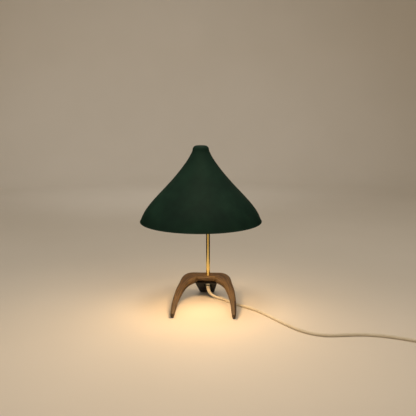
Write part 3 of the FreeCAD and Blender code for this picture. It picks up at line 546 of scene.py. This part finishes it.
insideEnamel = whiteReflectorEnamel()
slotOf = {p["node"]: p["material_slot"] for p in frame["record"]["subparts"]}
for nodeName, node in frame["nodes"].items():
    node.data.materials[0] = finishes[slotOf[nodeName]]
print("materials made:", len(finishes) + 1)


def addStage():
    # a pale round sweep: floor, a wide cove and a wall in one piece, open above
    room = {
        "floor": 2300.0, "cove": 900.0, "wallTop": 1700.0, "pale": ("#ded4c4", "#e4dacb"),
        "coveSteps": 40, "steps": 160,
    }
    sky = {"seen": "#a4978a", "light": "#ece4d8", "strength": 0.38}     # the colour seen, and the light given
    material, tree, shader = newMaterial("paleSweep", {"Roughness": 0.8, "Specular IOR Level": 0.15})
    where = addNode(tree, "ShaderNodeTexCoord").outputs["Object"]
    cloud = addNode(tree, "ShaderNodeTexNoise", {"Scale": 3.0, "Detail": 2.0}, {"Vector": where})
    tone = addNode(tree, "ShaderNodeMixRGB", {
        "Color1": linearColour(room["pale"][0]), "Color2": linearColour(room["pale"][1]),
    }, {"Fac": cloud})
    connect(tree, shader, {"Base Color": tone})
    outline = [(0.0, 0.0), (room["floor"] / 2, 0.0)]
    outline += arcPoints((room["floor"], room["cove"]), room["cove"], -90, 0, room["coveSteps"])
    outline += [(room["floor"] + room["cove"], room["wallTop"])]
    turnedPiece("sweep", outline, material, steps=room["steps"])
    world = bpy.data.worlds.new("room")
    scene.world = world
    world.use_nodes = True
    tree = world.node_tree
    tree.nodes.clear()
    paths = addNode(tree, "ShaderNodeLightPath")
    seen = addNode(tree, "ShaderNodeMath", {"operation": "MAXIMUM"}, {
        0: paths.outputs["Is Camera Ray"], 1: paths.outputs["Is Transmission Ray"],
    })
    light = addNode(tree, "ShaderNodeBackground", {
        "Color": linearColour(sky["light"]), "Strength": sky["strength"],
    })
    wall = addNode(tree, "ShaderNodeBackground", {"Color": linearColour(sky["seen"]), "Strength": 1.0})
    both = addNode(tree, "ShaderNodeMixShader", None, {0: seen, 1: light, 2: wall})
    addNode(tree, "ShaderNodeOutputWorld", None, {"Surface": both})


def addLight(name, settings):
    data = bpy.data.lights.new(name, "SPOT" if "cone" in settings else "AREA")
    if "cone" in settings:      # a soft round beam, its whole angle in degrees
        data.spot_size = math.radians(settings["cone"])
        data.spot_blend = 1.0
        data.shadow_soft_size = settings["size"] / 2
    else:
        data.shape = "DISK"
        data.size = settings["size"]
    data.energy = settings["energy"]
    data.color = linearColour(settings["colour"])[:3]
    light = bpy.data.objects.new(name, data)
    light.location = settings["place"]
    aim = Vector(settings["aim"]) - Vector(settings["place"])
    light.rotation_euler = aim.to_track_quat("-Z", "Y").to_euler()
    light.visible_camera = False
    scene.collection.objects.link(light)


def addFlags():
    # dark cards at both sides that only reflections show, as in a studio: they give bare metal its dark edges
    flag = {"away": 0.33, "near": -0.25, "far": 0.5, "top": 0.5}        # in metres
    black = newMaterial("flagCloth", {
        "Base Color": linearColour("#0c0b0a"), "Roughness": 0.9, "Specular IOR Level": 0.0,
    })[0]
    near, far, top = flag["near"], flag["far"], flag["top"]
    for name, side in (("flagLeft", -1), ("flagRight", 1)):
        x = side * flag["away"]
        card = meshFrom(name, [(x, near, 0), (x, far, 0), (x, far, top), (x, near, top)], [(0, 1, 2, 3)])
        card.data.materials.append(black)
        card.visible_camera = card.visible_diffuse = card.visible_transmission = card.visible_shadow = False


# a turned solid: an outline of (radius, height) points goes round the vertical axis
def turnedTree():
    tree = bpy.data.node_groups.new("turnedShape", "GeometryNodeTree")
    face = tree.interface
    face.new_socket("Shape", in_out="OUTPUT", socket_type="NodeSocketGeometry")
    face.new_socket("Outline", in_out="INPUT", socket_type="NodeSocketGeometry")
    for label, kind in (
        ("Points", "NodeSocketInt"), ("Steps", "NodeSocketInt"), ("Inside from", "NodeSocketInt"),
        ("Outside finish", "NodeSocketMaterial"), ("Inside finish", "NodeSocketMaterial"),
    ):
        face.new_socket(label, in_out="INPUT", socket_type=kind)
    given = addNode(tree, "NodeGroupInput").outputs
    steps, count = given["Steps"], given["Points"]
    columns = addNode(tree, "ShaderNodeMath", {"operation": "ADD", 1: 1.0}, {0: steps})
    grid = addNode(tree, "GeometryNodeMeshGrid", None, {"Vertices X": count, "Vertices Y": columns})
    index = addNode(tree, "GeometryNodeInputIndex")
    row = addNode(tree, "ShaderNodeMath", {"operation": "DIVIDE"}, {0: index, 1: columns})
    row = addNode(tree, "ShaderNodeMath", {"operation": "FLOOR"}, {0: row})
    column = addNode(tree, "ShaderNodeMath", {"operation": "MODULO"}, {0: index, 1: columns})
    angle = addNode(tree, "ShaderNodeMath", {"operation": "DIVIDE"}, {0: column, 1: steps})
    angle = addNode(tree, "ShaderNodeMath", {"operation": "MULTIPLY", 1: 2 * math.pi}, {0: angle})
    sample = addNode(tree, "GeometryNodeSampleIndex", {"data_type": "FLOAT_VECTOR"}, {
        "Geometry": given["Outline"], "Index": row,
    })
    connect(tree, sample, {"Value": addNode(tree, "GeometryNodeInputPosition")})
    spot = addNode(tree, "ShaderNodeSeparateXYZ", None, {0: sample})
    cosine = addNode(tree, "ShaderNodeMath", {"operation": "COSINE"}, {0: angle})
    sine = addNode(tree, "ShaderNodeMath", {"operation": "SINE"}, {0: angle})
    across = addNode(tree, "ShaderNodeMath", {"operation": "MULTIPLY"}, {0: spot.outputs["X"], 1: cosine})
    away = addNode(tree, "ShaderNodeMath", {"operation": "MULTIPLY"}, {0: spot.outputs["X"], 1: sine})
    place = addNode(tree, "ShaderNodeCombineXYZ", None, {"X": across, "Y": away, "Z": spot.outputs["Z"]})
    moved = addNode(tree, "GeometryNodeSetPosition", None, {
        "Geometry": grid.outputs["Mesh"], "Position": place,
    })
    strip = addNode(tree, "ShaderNodeMath", {"operation": "DIVIDE"}, {0: index, 1: steps})
    strip = addNode(tree, "ShaderNodeMath", {"operation": "FLOOR"}, {0: strip})
    marked = addNode(tree, "GeometryNodeStoreNamedAttribute", {"domain": "FACE", "Name": "strip"}, {
        "Geometry": moved, "Value": strip,
    })
    merged = addNode(tree, "GeometryNodeMergeByDistance", {"Distance": 1e-6}, {"Geometry": marked})
    real = addNode(tree, "GeometryNodeRealizeInstances", None, {"Geometry": merged})
    whole = addNode(tree, "GeometryNodeSetMaterial", None, {
        "Geometry": real, "Material": given["Outside finish"],
    })
    strip = addNode(tree, "GeometryNodeInputNamedAttribute", {"data_type": "FLOAT", "Name": "strip"})
    inner = addNode(tree, "FunctionNodeCompare", {"operation": "GREATER_EQUAL"}, {
        0: strip, 1: given["Inside from"],
    })
    both = addNode(tree, "GeometryNodeSetMaterial", None, {
        "Geometry": whole, "Selection": inner, "Material": given["Inside finish"],
    })
    addNode(tree, "NodeGroupOutput", None, {"Shape": both})
    return tree


def setInputs(modifier, values):
    for item in modifier.node_group.interface.items_tree:
        if item.in_out == "INPUT" and item.name in values:
            modifier[item.identifier] = values[item.name]


turnedShape = turnedTree()


def turnedPiece(name, outline, finish, insideFinish=None, insideFrom=100000, steps=160):
    # the inside's finish starts at the given point of the outline, which none reaches unless it is named
    points = [(r * mm, 0, z * mm) for r, z in outline]
    piece = meshFrom(name, points, [])
    shape = piece.modifiers.new("turned", "NODES")
    shape.node_group = turnedShape
    setInputs(shape, {
        "Points": len(points), "Steps": steps, "Inside from": insideFrom,
        "Outside finish": finish, "Inside finish": insideFinish or finish,
    })
    bakeModifiers(piece)
    tidyMesh(piece)
    return piece


def arcPoints(centre, radius, first, last, count):
    # points on a circle from one angle to another, in degrees from level
    turns = [math.radians(first + (last - first) * k / (count - 1)) for k in range(count)]
    return [(centre[0] + radius * math.cos(t), centre[1] + radius * math.sin(t)) for t in turns]


addStage()
addFlags()
# soft studio lights, in metres and watts; the last two are the bulb's own light below and round the shade
lampsAround = {
    "keyLight": {
        "place": (0.9, -1.1, 1.5), "aim": (0, 0, 0.2), "size": 1.1, "energy": 5.0, "colour": "#fff4e4",
    },
    "fillLight": {
        "place": (-1.6, -0.9, 1.1), "aim": (0, 0, 0.2), "size": 1.2, "energy": 3.5, "colour": "#f6f0e8",
    },
    "topLight": {
        "place": (0.1, 0.5, 1.9), "aim": (0, 0, 0), "size": 1.3, "energy": 6.5, "colour": "#fff6ea",
    },
    "wallLight": {
        "place": (-0.3, 0.5, 1.7), "aim": (-0.45, 2.9, 0.25), "size": 0.5, "cone": 84,
        "energy": 50.0, "colour": "#f0f0f2",
    },
    "floorPool": {
        "place": (-0.05, -0.3, 1.6), "aim": (-0.05, -0.2, 0), "size": 0.5, "cone": 50,
        "energy": 30.0, "colour": "#ffe4c4",
    },
    "bulbPool": {
        "place": (0, -0.02, 0.186), "aim": (0, -0.03, 0), "size": 0.05, "cone": 172,
        "energy": 1.25, "colour": "#ffd29a",
    },
    "mouthPool": {
        "place": (0, -0.02, 0.21), "aim": (0, -0.3, 0), "size": 0.2, "energy": 0.3, "colour": "#ffdcae",
    },
}
for lightName, settings in lampsAround.items():
    addLight(lightName, settings)
scene.view_settings.view_transform = "Standard"
print("stage and lights placed")


def addShade():
    s = {
        "top": 400.0, "rimRadius": 144.9, "rimHeight": 220.0, "wall": 0.8, "bead": 1.3,
        "noseWidth": 38.0, "noseRadius": 10.0, "noseTurn": 75.0, "noseSteps": 14, "perSpan": 12, "steps": 224,
        "beadTurn": (40, -220), "beadSteps": 17,        # the rolled edge, in degrees from the outside
        "whiteSteps": 4,        # of the rolled edge, at its inner end
        # from the nose down: share of the way out to the rim, share of the way down to it
        "flare": [
            (0.0, 0.0), (0.010, 0.033), (0.034, 0.073), (0.067, 0.1164), (0.193, 0.2509), (0.377, 0.4164),
            (0.592, 0.5858), (0.802, 0.7542), (0.957, 0.9216), (1.0, 1.0),
        ],
    }
    turn = math.radians(s["noseTurn"])
    noseOut = s["noseWidth"] / 2
    noseLow = s["top"] - s["noseRadius"] * (1 - math.cos(turn))
    centre = (noseOut - s["noseRadius"] * math.sin(turn), s["top"] - s["noseRadius"])
    wide, deep = s["rimRadius"] - noseOut, noseLow - s["rimHeight"]
    flare = smoothThrough([(noseOut + wide * r, noseLow - deep * h) for r, h in s["flare"]], s["perSpan"])
    nose = arcPoints(centre, s["noseRadius"], 90, 90 - s["noseTurn"], s["noseSteps"])
    outer = np.array([(0.0, s["top"]), (centre[0] / 2, s["top"])] + nose + [tuple(p) for p in flare[1:]])
    ways = np.gradient(outer, axis=0)
    ways /= np.linalg.norm(ways, axis=1)[:, None]
    inner = outer + np.column_stack([ways[:, 1], -ways[:, 0]]) * s["wall"]
    inner[0] = (0.0, s["top"] - s["wall"])
    rim = (outer[-1] + inner[-1]) / 2
    start = math.degrees(math.atan2(*(outer[-1] - rim)[::-1]))
    bead = arcPoints(rim, s["bead"], start + s["beadTurn"][0], start + s["beadTurn"][1], s["beadSteps"])
    outline = [tuple(p) for p in outer[:-1]] + bead + [tuple(p) for p in inner[-2::-1]]
    insideFrom = len(outer) - 1 + len(bead) - s["whiteSteps"]
    shade = turnedPiece("spunShade", outline, finishes["shade_paint"], insideEnamel, insideFrom, s["steps"])
    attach(shade, "head")
    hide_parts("shade")


addShade()
print("shade spun")


def addBulb():
    b = {
        "diameter": 45.0, "neck": 25.0, "centre": 212.9, "lip": 241.0, "wall": 0.8,
        "ballSteps": 40, "steps": 96,
        # where the ball ends: out from the neck, then the shoulder: out from the neck, and up from the ball
        "ballEnd": 2.2, "shoulder": [(0.9, 1.9), (0.2, 4.2), (0.0, 6.6)],
    }
    ball, neck = b["diameter"] / 2, b["neck"] / 2
    meet = math.degrees(math.asin(math.sqrt(ball ** 2 - (neck + b["ballEnd"]) ** 2) / ball))
    outer = arcPoints((0, b["centre"]), ball, -90, meet, b["ballSteps"])
    last = outer[-1]
    outer += [(neck + out, last[1] + up) for out, up in b["shoulder"]] + [(neck, b["lip"])]
    outer = np.array(outer)
    ways = np.gradient(outer, axis=0)
    ways /= np.linalg.norm(ways, axis=1)[:, None]
    inner = outer + np.column_stack([-ways[:, 1], ways[:, 0]]) * b["wall"]
    inner[0] = (0.0, outer[0][1] + b["wall"])
    inner[-1] = (neck - b["wall"], b["lip"])
    outline = [tuple(p) for p in outer] + [tuple(p) for p in inner[::-1]]
    bulb = turnedPiece("bulbGlass", outline, finishes["opal_glass"], steps=b["steps"])
    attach(bulb, "head")
    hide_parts("bulb_glass")


addBulb()
print("bulb blown")


def addFrontBow():
    b = {
        "thick": 15.0, "footThick": 11.0, "slope": 17.6, "crown": 54.3, "edge": 0.42, "padTop": 2.0,
        "perSpan": 12, "around": 48, "holeRadius": 5.08, "hole": (20, 80),      # the hole's low and high end
        "tip": 4.0, "tipSize": 0.55, "tipGrowth": 0.45,     # a foot is rounded over its last few mm
        "wearPower": 6,     # the higher, the nearer to the edges the wear stays
        # half of the middle line, from the crown to the foot: across, along the slope, and the width there
        "line": [
            (0.0, 1.4, 28.0), (24.5, 1.3, 28.5), (36.8, -3.6, 37.5), (52.3, -25.9, 28.3), (62.0, -55.0, 20.6),
            (67.0, -82.0, 17.2), (71.0, -116.0, 13.6), (72.2, -147.0, 11.0), (72.6, -158.0, 9.2),
            (72.7, -162.0, 8.8),
        ],
    }
    whole = [(-u, w, width) for u, w, width in b["line"][:0:-1]] + b["line"]
    line = smoothThrough(whole, b["perSpan"])
    steps = np.linalg.norm(np.diff(line[:, :2], axis=0), axis=1)
    along = np.concatenate([[0], np.cumsum(steps)])
    along -= along[-1] / 2
    ways = np.gradient(line[:, :2], axis=0)
    ways /= np.linalg.norm(ways, axis=1)[:, None]
    slope = math.radians(b["slope"])
    tilt = Matrix.Rotation(slope, 3, "X")
    middle = hub + Vector((lamp["baseOffset"], 0, 0))
    crown = middle + Vector((0, 0, b["crown"]))
    bendStart = abs(along[np.argmin(np.abs(line[:, 0] - b["line"][2][0]))])
    end = along[-1]
    rings = []
    for k in range(len(line)):
        share = min(max((abs(along[k]) - bendStart) / (end - bendStart), 0), 1)
        thick = b["thick"] + (b["footThick"] - b["thick"]) * share
        width = line[k, 2]
        left = end - abs(along[k])
        if left < b["tip"]:
            arch = math.sqrt(max(1 - ((b["tip"] - left) / b["tip"]) ** 2, 0.0))
            tip = arch * b["tipGrowth"] + b["tipSize"]
            width, thick = width * tip, thick * tip
        across = Vector((-ways[k, 1], ways[k, 0], 0))
        ring = []
        for a, c in roundedLoop(width, thick, b["edge"] * min(width, thick), b["around"]):
            here = Vector((line[k, 0], line[k, 1], 0)) + across * a + Vector((0, 0, c))
            ring.append((crown + tilt @ here) * mm)
        rings.append(ring)
    bow = loftRings("frontBow", rings)
    tidyMesh(bow)
    trimBelow(bow, (0, 0, b["padTop"] * mm), (0, 0, 1))
    cutAway(bow, closedRod("stemHole", b["holeRadius"], *b["hole"], hub))
    tidyMesh(bow, sharpAngle=40)
    bow.data.materials.clear()
    bow.data.materials.append(finishes["bow_wood"])
    grain, wear = [], []
    back = tilt.inverted()
    for vertex in bow.data.vertices:
        here = back @ (vertex.co / mm - crown)
        near = int(np.argmin(np.hypot(line[:, 0] - here.x, line[:, 1] - here.y)))
        offset = Vector((here.x - line[near, 0], here.y - line[near, 1]))
        side = offset.dot(Vector((-ways[near, 1], ways[near, 0])))
        forward = offset.dot(Vector(ways[near]))
        grain += [along[near] + forward, side, here.z]
        nearSide = min(abs(side) / (line[near, 2] / 2), 1)
        nearFace = min(abs(here.z) / (b["thick"] / 2), 1)
        wear.append((nearSide * nearFace) ** b["wearPower"])
    storeOnPoints(bow, "grain", "FLOAT_VECTOR", grain)
    storeOnPoints(bow, "edge", "FLOAT", wear)
    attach(bow, "base")
    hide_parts("front_bow")


addFrontBow()
print("front bow carved")


def addRearLeg():
    r = {
        "crown": 54.3, "slope": 17.6, "bowThick": 15.0, "topWidth": 57.0, "footWidth": 38.0,
        "footFront": 42.0, "footLength": 17.5, "topFront": -13.0, "topBack": 13.0, "edge": 4.5,
        "padTop": 2.0, "levels": 14, "around": 64,
        "spareTop": 4,      # it is made this much too high, and trimmed under the bow
        # the stem's hole and the nut's recess, with their low and high ends
        "holeRadius": 5.08, "hole": (10, 80), "recessRadius": 11.0, "recess": (-10, 42.63),
    }
    slope = math.radians(r["slope"])
    middle = hub + Vector((lamp["baseOffset"], 0, 0))
    underside = r["crown"] - r["bowThick"] / 2 / math.cos(slope)
    frontTop = underside + math.tan(slope) * r["topFront"]
    backTop = underside + math.tan(slope) * r["topBack"]
    footBack = r["footFront"] + r["footLength"]
    rings = []
    for k in range(r["levels"] + 1):
        level = (backTop + r["spareTop"]) * k / r["levels"]
        fall = level / frontTop
        front = r["footFront"] + (r["topFront"] - r["footFront"]) * fall
        back = footBack + (r["topBack"] - footBack) * level / backTop
        width = r["footWidth"] + (r["topWidth"] - r["footWidth"]) * fall
        ring = []
        for a, c in roundedLoop(width, back - front, r["edge"], r["around"]):
            ring.append((middle + Vector((a, (front + back) / 2 + c, level))) * mm)
        rings.append(ring)
    leg = loftRings("rearLeg", rings)
    tidyMesh(leg)
    under = (middle + Vector((0, 0, underside))) * mm
    trimBelow(leg, under, (0, math.sin(slope), -math.cos(slope)))
    trimBelow(leg, (0, 0, r["padTop"] * mm), (0, 0, 1))
    cutAway(leg, closedRod("stemHole", r["holeRadius"], *r["hole"], hub))
    cutAway(leg, closedRod("nutRecess", r["recessRadius"], *r["recess"], hub))
    tidyMesh(leg, sharpAngle=40)
    leg.data.materials.clear()
    leg.data.materials.append(finishes["leg_wood"])
    grain = []
    lean = math.atan2(r["footFront"] - r["topFront"], frontTop)     # the grain runs down the leg
    for vertex in leg.data.vertices:
        x, y, z = vertex.co / mm - middle
        grain += [z * math.cos(lean) - y * math.sin(lean), x, y * math.cos(lean) + z * math.sin(lean)]
    storeOnPoints(leg, "grain", "FLOAT_VECTOR", grain)
    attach(leg, "base")
    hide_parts("rear_leg")


addRearLeg()
print("rear leg cut")


# a tube along a curve: the outer skin, its copy set in by the wall, and rims between them
def tubeTree():
    tree = bpy.data.node_groups.new("bentTube", "GeometryNodeTree")
    face = tree.interface
    face.new_socket("Tube", in_out="OUTPUT", socket_type="NodeSocketGeometry")
    face.new_socket("Path", in_out="INPUT", socket_type="NodeSocketGeometry")
    for label, kind in (
        ("Radius", "NodeSocketFloat"), ("Wall", "NodeSocketFloat"), ("Sides", "NodeSocketInt"),
        ("Finish", "NodeSocketMaterial"),
    ):
        face.new_socket(label, in_out="INPUT", socket_type=kind)
    given = addNode(tree, "NodeGroupInput").outputs
    path = addNode(tree, "GeometryNodeMeshToCurve", None, {"Mesh": given["Path"]})
    circle = addNode(tree, "GeometryNodeCurvePrimitiveCircle", None, {
        "Resolution": given["Sides"], "Radius": given["Radius"],
    })
    skin = addNode(tree, "GeometryNodeCurveToMesh", None, {"Curve": path, "Profile Curve": circle})
    inward = addNode(tree, "ShaderNodeMath", {"operation": "MULTIPLY", 1: -1.0}, {0: given["Wall"]})
    normal = addNode(tree, "GeometryNodeInputNormal")
    offset = addNode(tree, "ShaderNodeVectorMath", {"operation": "SCALE"}, {0: normal, "Scale": inward})
    bore = addNode(tree, "GeometryNodeExtrudeMesh", {"Individual": False}, {"Mesh": skin, "Offset": offset})
    joined = addNode(tree, "GeometryNodeJoinGeometry", None, {"Geometry": skin})
    connect(tree, joined, {"Geometry": bore.outputs["Mesh"]})
    merged = addNode(tree, "GeometryNodeMergeByDistance", {"Distance": 1e-6}, {"Geometry": joined})
    real = addNode(tree, "GeometryNodeRealizeInstances", None, {"Geometry": merged})
    finished = addNode(tree, "GeometryNodeSetMaterial", None, {"Geometry": real, "Material": given["Finish"]})
    addNode(tree, "NodeGroupOutput", None, {"Tube": finished})
    return tree


def addStem():
    s = {
        "diameter": 10.0, "wall": 1.0, "bend": 47.0, "low": 35.64, "end": 56.9,
        "sides": 64, "straightSteps": 30, "bendSteps": 40,
    }
    height, bend = lamp["armHeight"], s["bend"]
    count = s["straightSteps"]
    line = [(0, s["low"] + (height - bend - s["low"]) * k / count) for k in range(count)]
    for turn in np.linspace(0, math.pi / 2, s["bendSteps"]):
        line.append((bend * (1 - math.cos(turn)), height - bend + bend * math.sin(turn)))
    line.append((s["end"], height))
    points = [(hub + armWay * a + Vector((0, 0, z))) * mm for a, z in line]
    mesh = bpy.data.meshes.new("bentStem")
    mesh.from_pydata(points, [(k, k + 1) for k in range(len(points) - 1)], [])
    stem = bpy.data.objects.new("bentStem", mesh)
    scene.collection.objects.link(stem)
    tube = stem.modifiers.new("tube", "NODES")
    tube.node_group = tubeTree()
    setInputs(tube, {
        "Radius": s["diameter"] / 2 * mm, "Wall": s["wall"] * mm, "Sides": s["sides"],
        "Finish": finishes["stem_brass"],
    })
    bakeModifiers(stem)
    tidyMesh(stem, sharpAngle=50)
    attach(stem, "arm")
    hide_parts("stem_tube")


addStem()
print("stem bent")


def addPlug():
    p = {
        "collar": 22.0, "collarWidth": 11.0, "sleeve": 0.8, "collarShare": 0.9, "collarSteps": 36,
        "ribs": 6, "ribDepth": 0.7, "ribbed": 0.9,      # the ribs stop at this share of the collar
        "start": 20.0, "length": 37.0, "width": 27.0, "thick": 14.0, "edge": 3.4, "around": 48,
        "shoulder": 5, "shoulderEdge": 1.5,     # up to here the corners are this much rounder
        # the body from collar to pins: along it, and shares of its full width and thickness
        "back": [(0.0, 0.46, 0.84), (1.0, 0.66, 0.9), (2.4, 0.84, 0.95), (4.6, 0.95, 0.985), (7.5, 1.0, 1.0)],
        # its face with the pins, the same but back from its end
        "face": [(2.2, 1.0, 1.0), (0.8, 0.985, 0.97), (0.0, 0.94, 0.9)],
    }
    side = Vector((-plugWay.y, plugWay.x, 0))
    stations = []
    low, high = cordRoute["diameter"] / 2 + p["sleeve"], p["collarWidth"] / 2
    for k in range(p["collarSteps"] + 1):       # the collar tapers, with soft ribs round it
        share = k / p["collarSteps"]
        wave = 0.5 - 0.5 * math.cos(2 * math.pi * p["ribs"] * share)
        radius = low + (high - low) * share - (p["ribDepth"] * wave if share < p["ribbed"] else 0.0)
        stations.append((p["collar"] * share * p["collarShare"], 2 * radius, 2 * radius, radius))
    for x, wide, thick in p["back"] + [(p["length"] - x, wide, thick) for x, wide, thick in p["face"]]:
        corner = p["edge"] + (p["shoulderEdge"] if x < p["shoulder"] else 0)
        stations.append((p["start"] + x, p["width"] * wide, p["thick"] * thick, corner))
    rings = []
    for x, wide, thick, corner in stations:
        ring = []
        for a, c in roundedLoop(wide, thick, corner, p["around"]):
            ring.append((plugStart + plugWay * x + side * a + Vector((0, 0, c))) * mm)
        rings.append(ring)
    plug = loftRings("plugBody", rings)
    tidyMesh(plug, sharpAngle=60)
    plug.data.materials.append(finishes["plug_plastic"])
    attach(plug, "base")
    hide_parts("plug_body")
    return plug


def addStrainRelief():
    # a tapered sleeve moulded on the cord where it leaves the hub, ringed so that it bends
    g = {
        "length": 21.0, "wide": 11.0, "narrow": 8.2, "rings": 6, "depth": 0.55, "around": 32, "stations": 60,
        "plain": 0.04, "ahead": 0.5,        # share of each end without rings, and how far on the way is read
    }
    line = cordLine / mm
    steps = np.concatenate([[0], np.cumsum(np.linalg.norm(np.diff(line, axis=0), axis=1))])
    rings = []
    sideways = Vector((0, 1, 0))
    for k in range(g["stations"] + 1):
        at = g["length"] * k / g["stations"]
        here = Vector([np.interp(at, steps, line[:, i]) for i in range(3)])
        ahead = Vector([np.interp(at + g["ahead"], steps, line[:, i]) for i in range(3)])
        way = (ahead - here).normalized()
        across = way.cross(sideways).normalized()
        up = across.cross(way)
        share = k / g["stations"]
        wave = 0.5 - 0.5 * math.cos(2 * math.pi * g["rings"] * share)
        groove = g["depth"] * wave if g["plain"] < share < 1 - g["plain"] else 0
        radius = (g["wide"] + (g["narrow"] - g["wide"]) * share) / 2 - groove
        turns = [2 * math.pi * j / g["around"] for j in range(g["around"])]
        rings.append([(here + across * radius * math.cos(t) + up * radius * math.sin(t)) * mm for t in turns])
    relief = loftRings("strainRelief", rings)
    tidyMesh(relief, sharpAngle=60)
    relief.data.materials.append(finishes["cord_pvc"])
    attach(relief, "base")
    return relief


plug = addPlug()
relief = addStrainRelief()
print("plug and strain relief made")

cord.data.materials.append(finishes["cord_pvc"])
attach(cord, "base")
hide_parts("cord_lead", "cord_coil", "cord_tail")
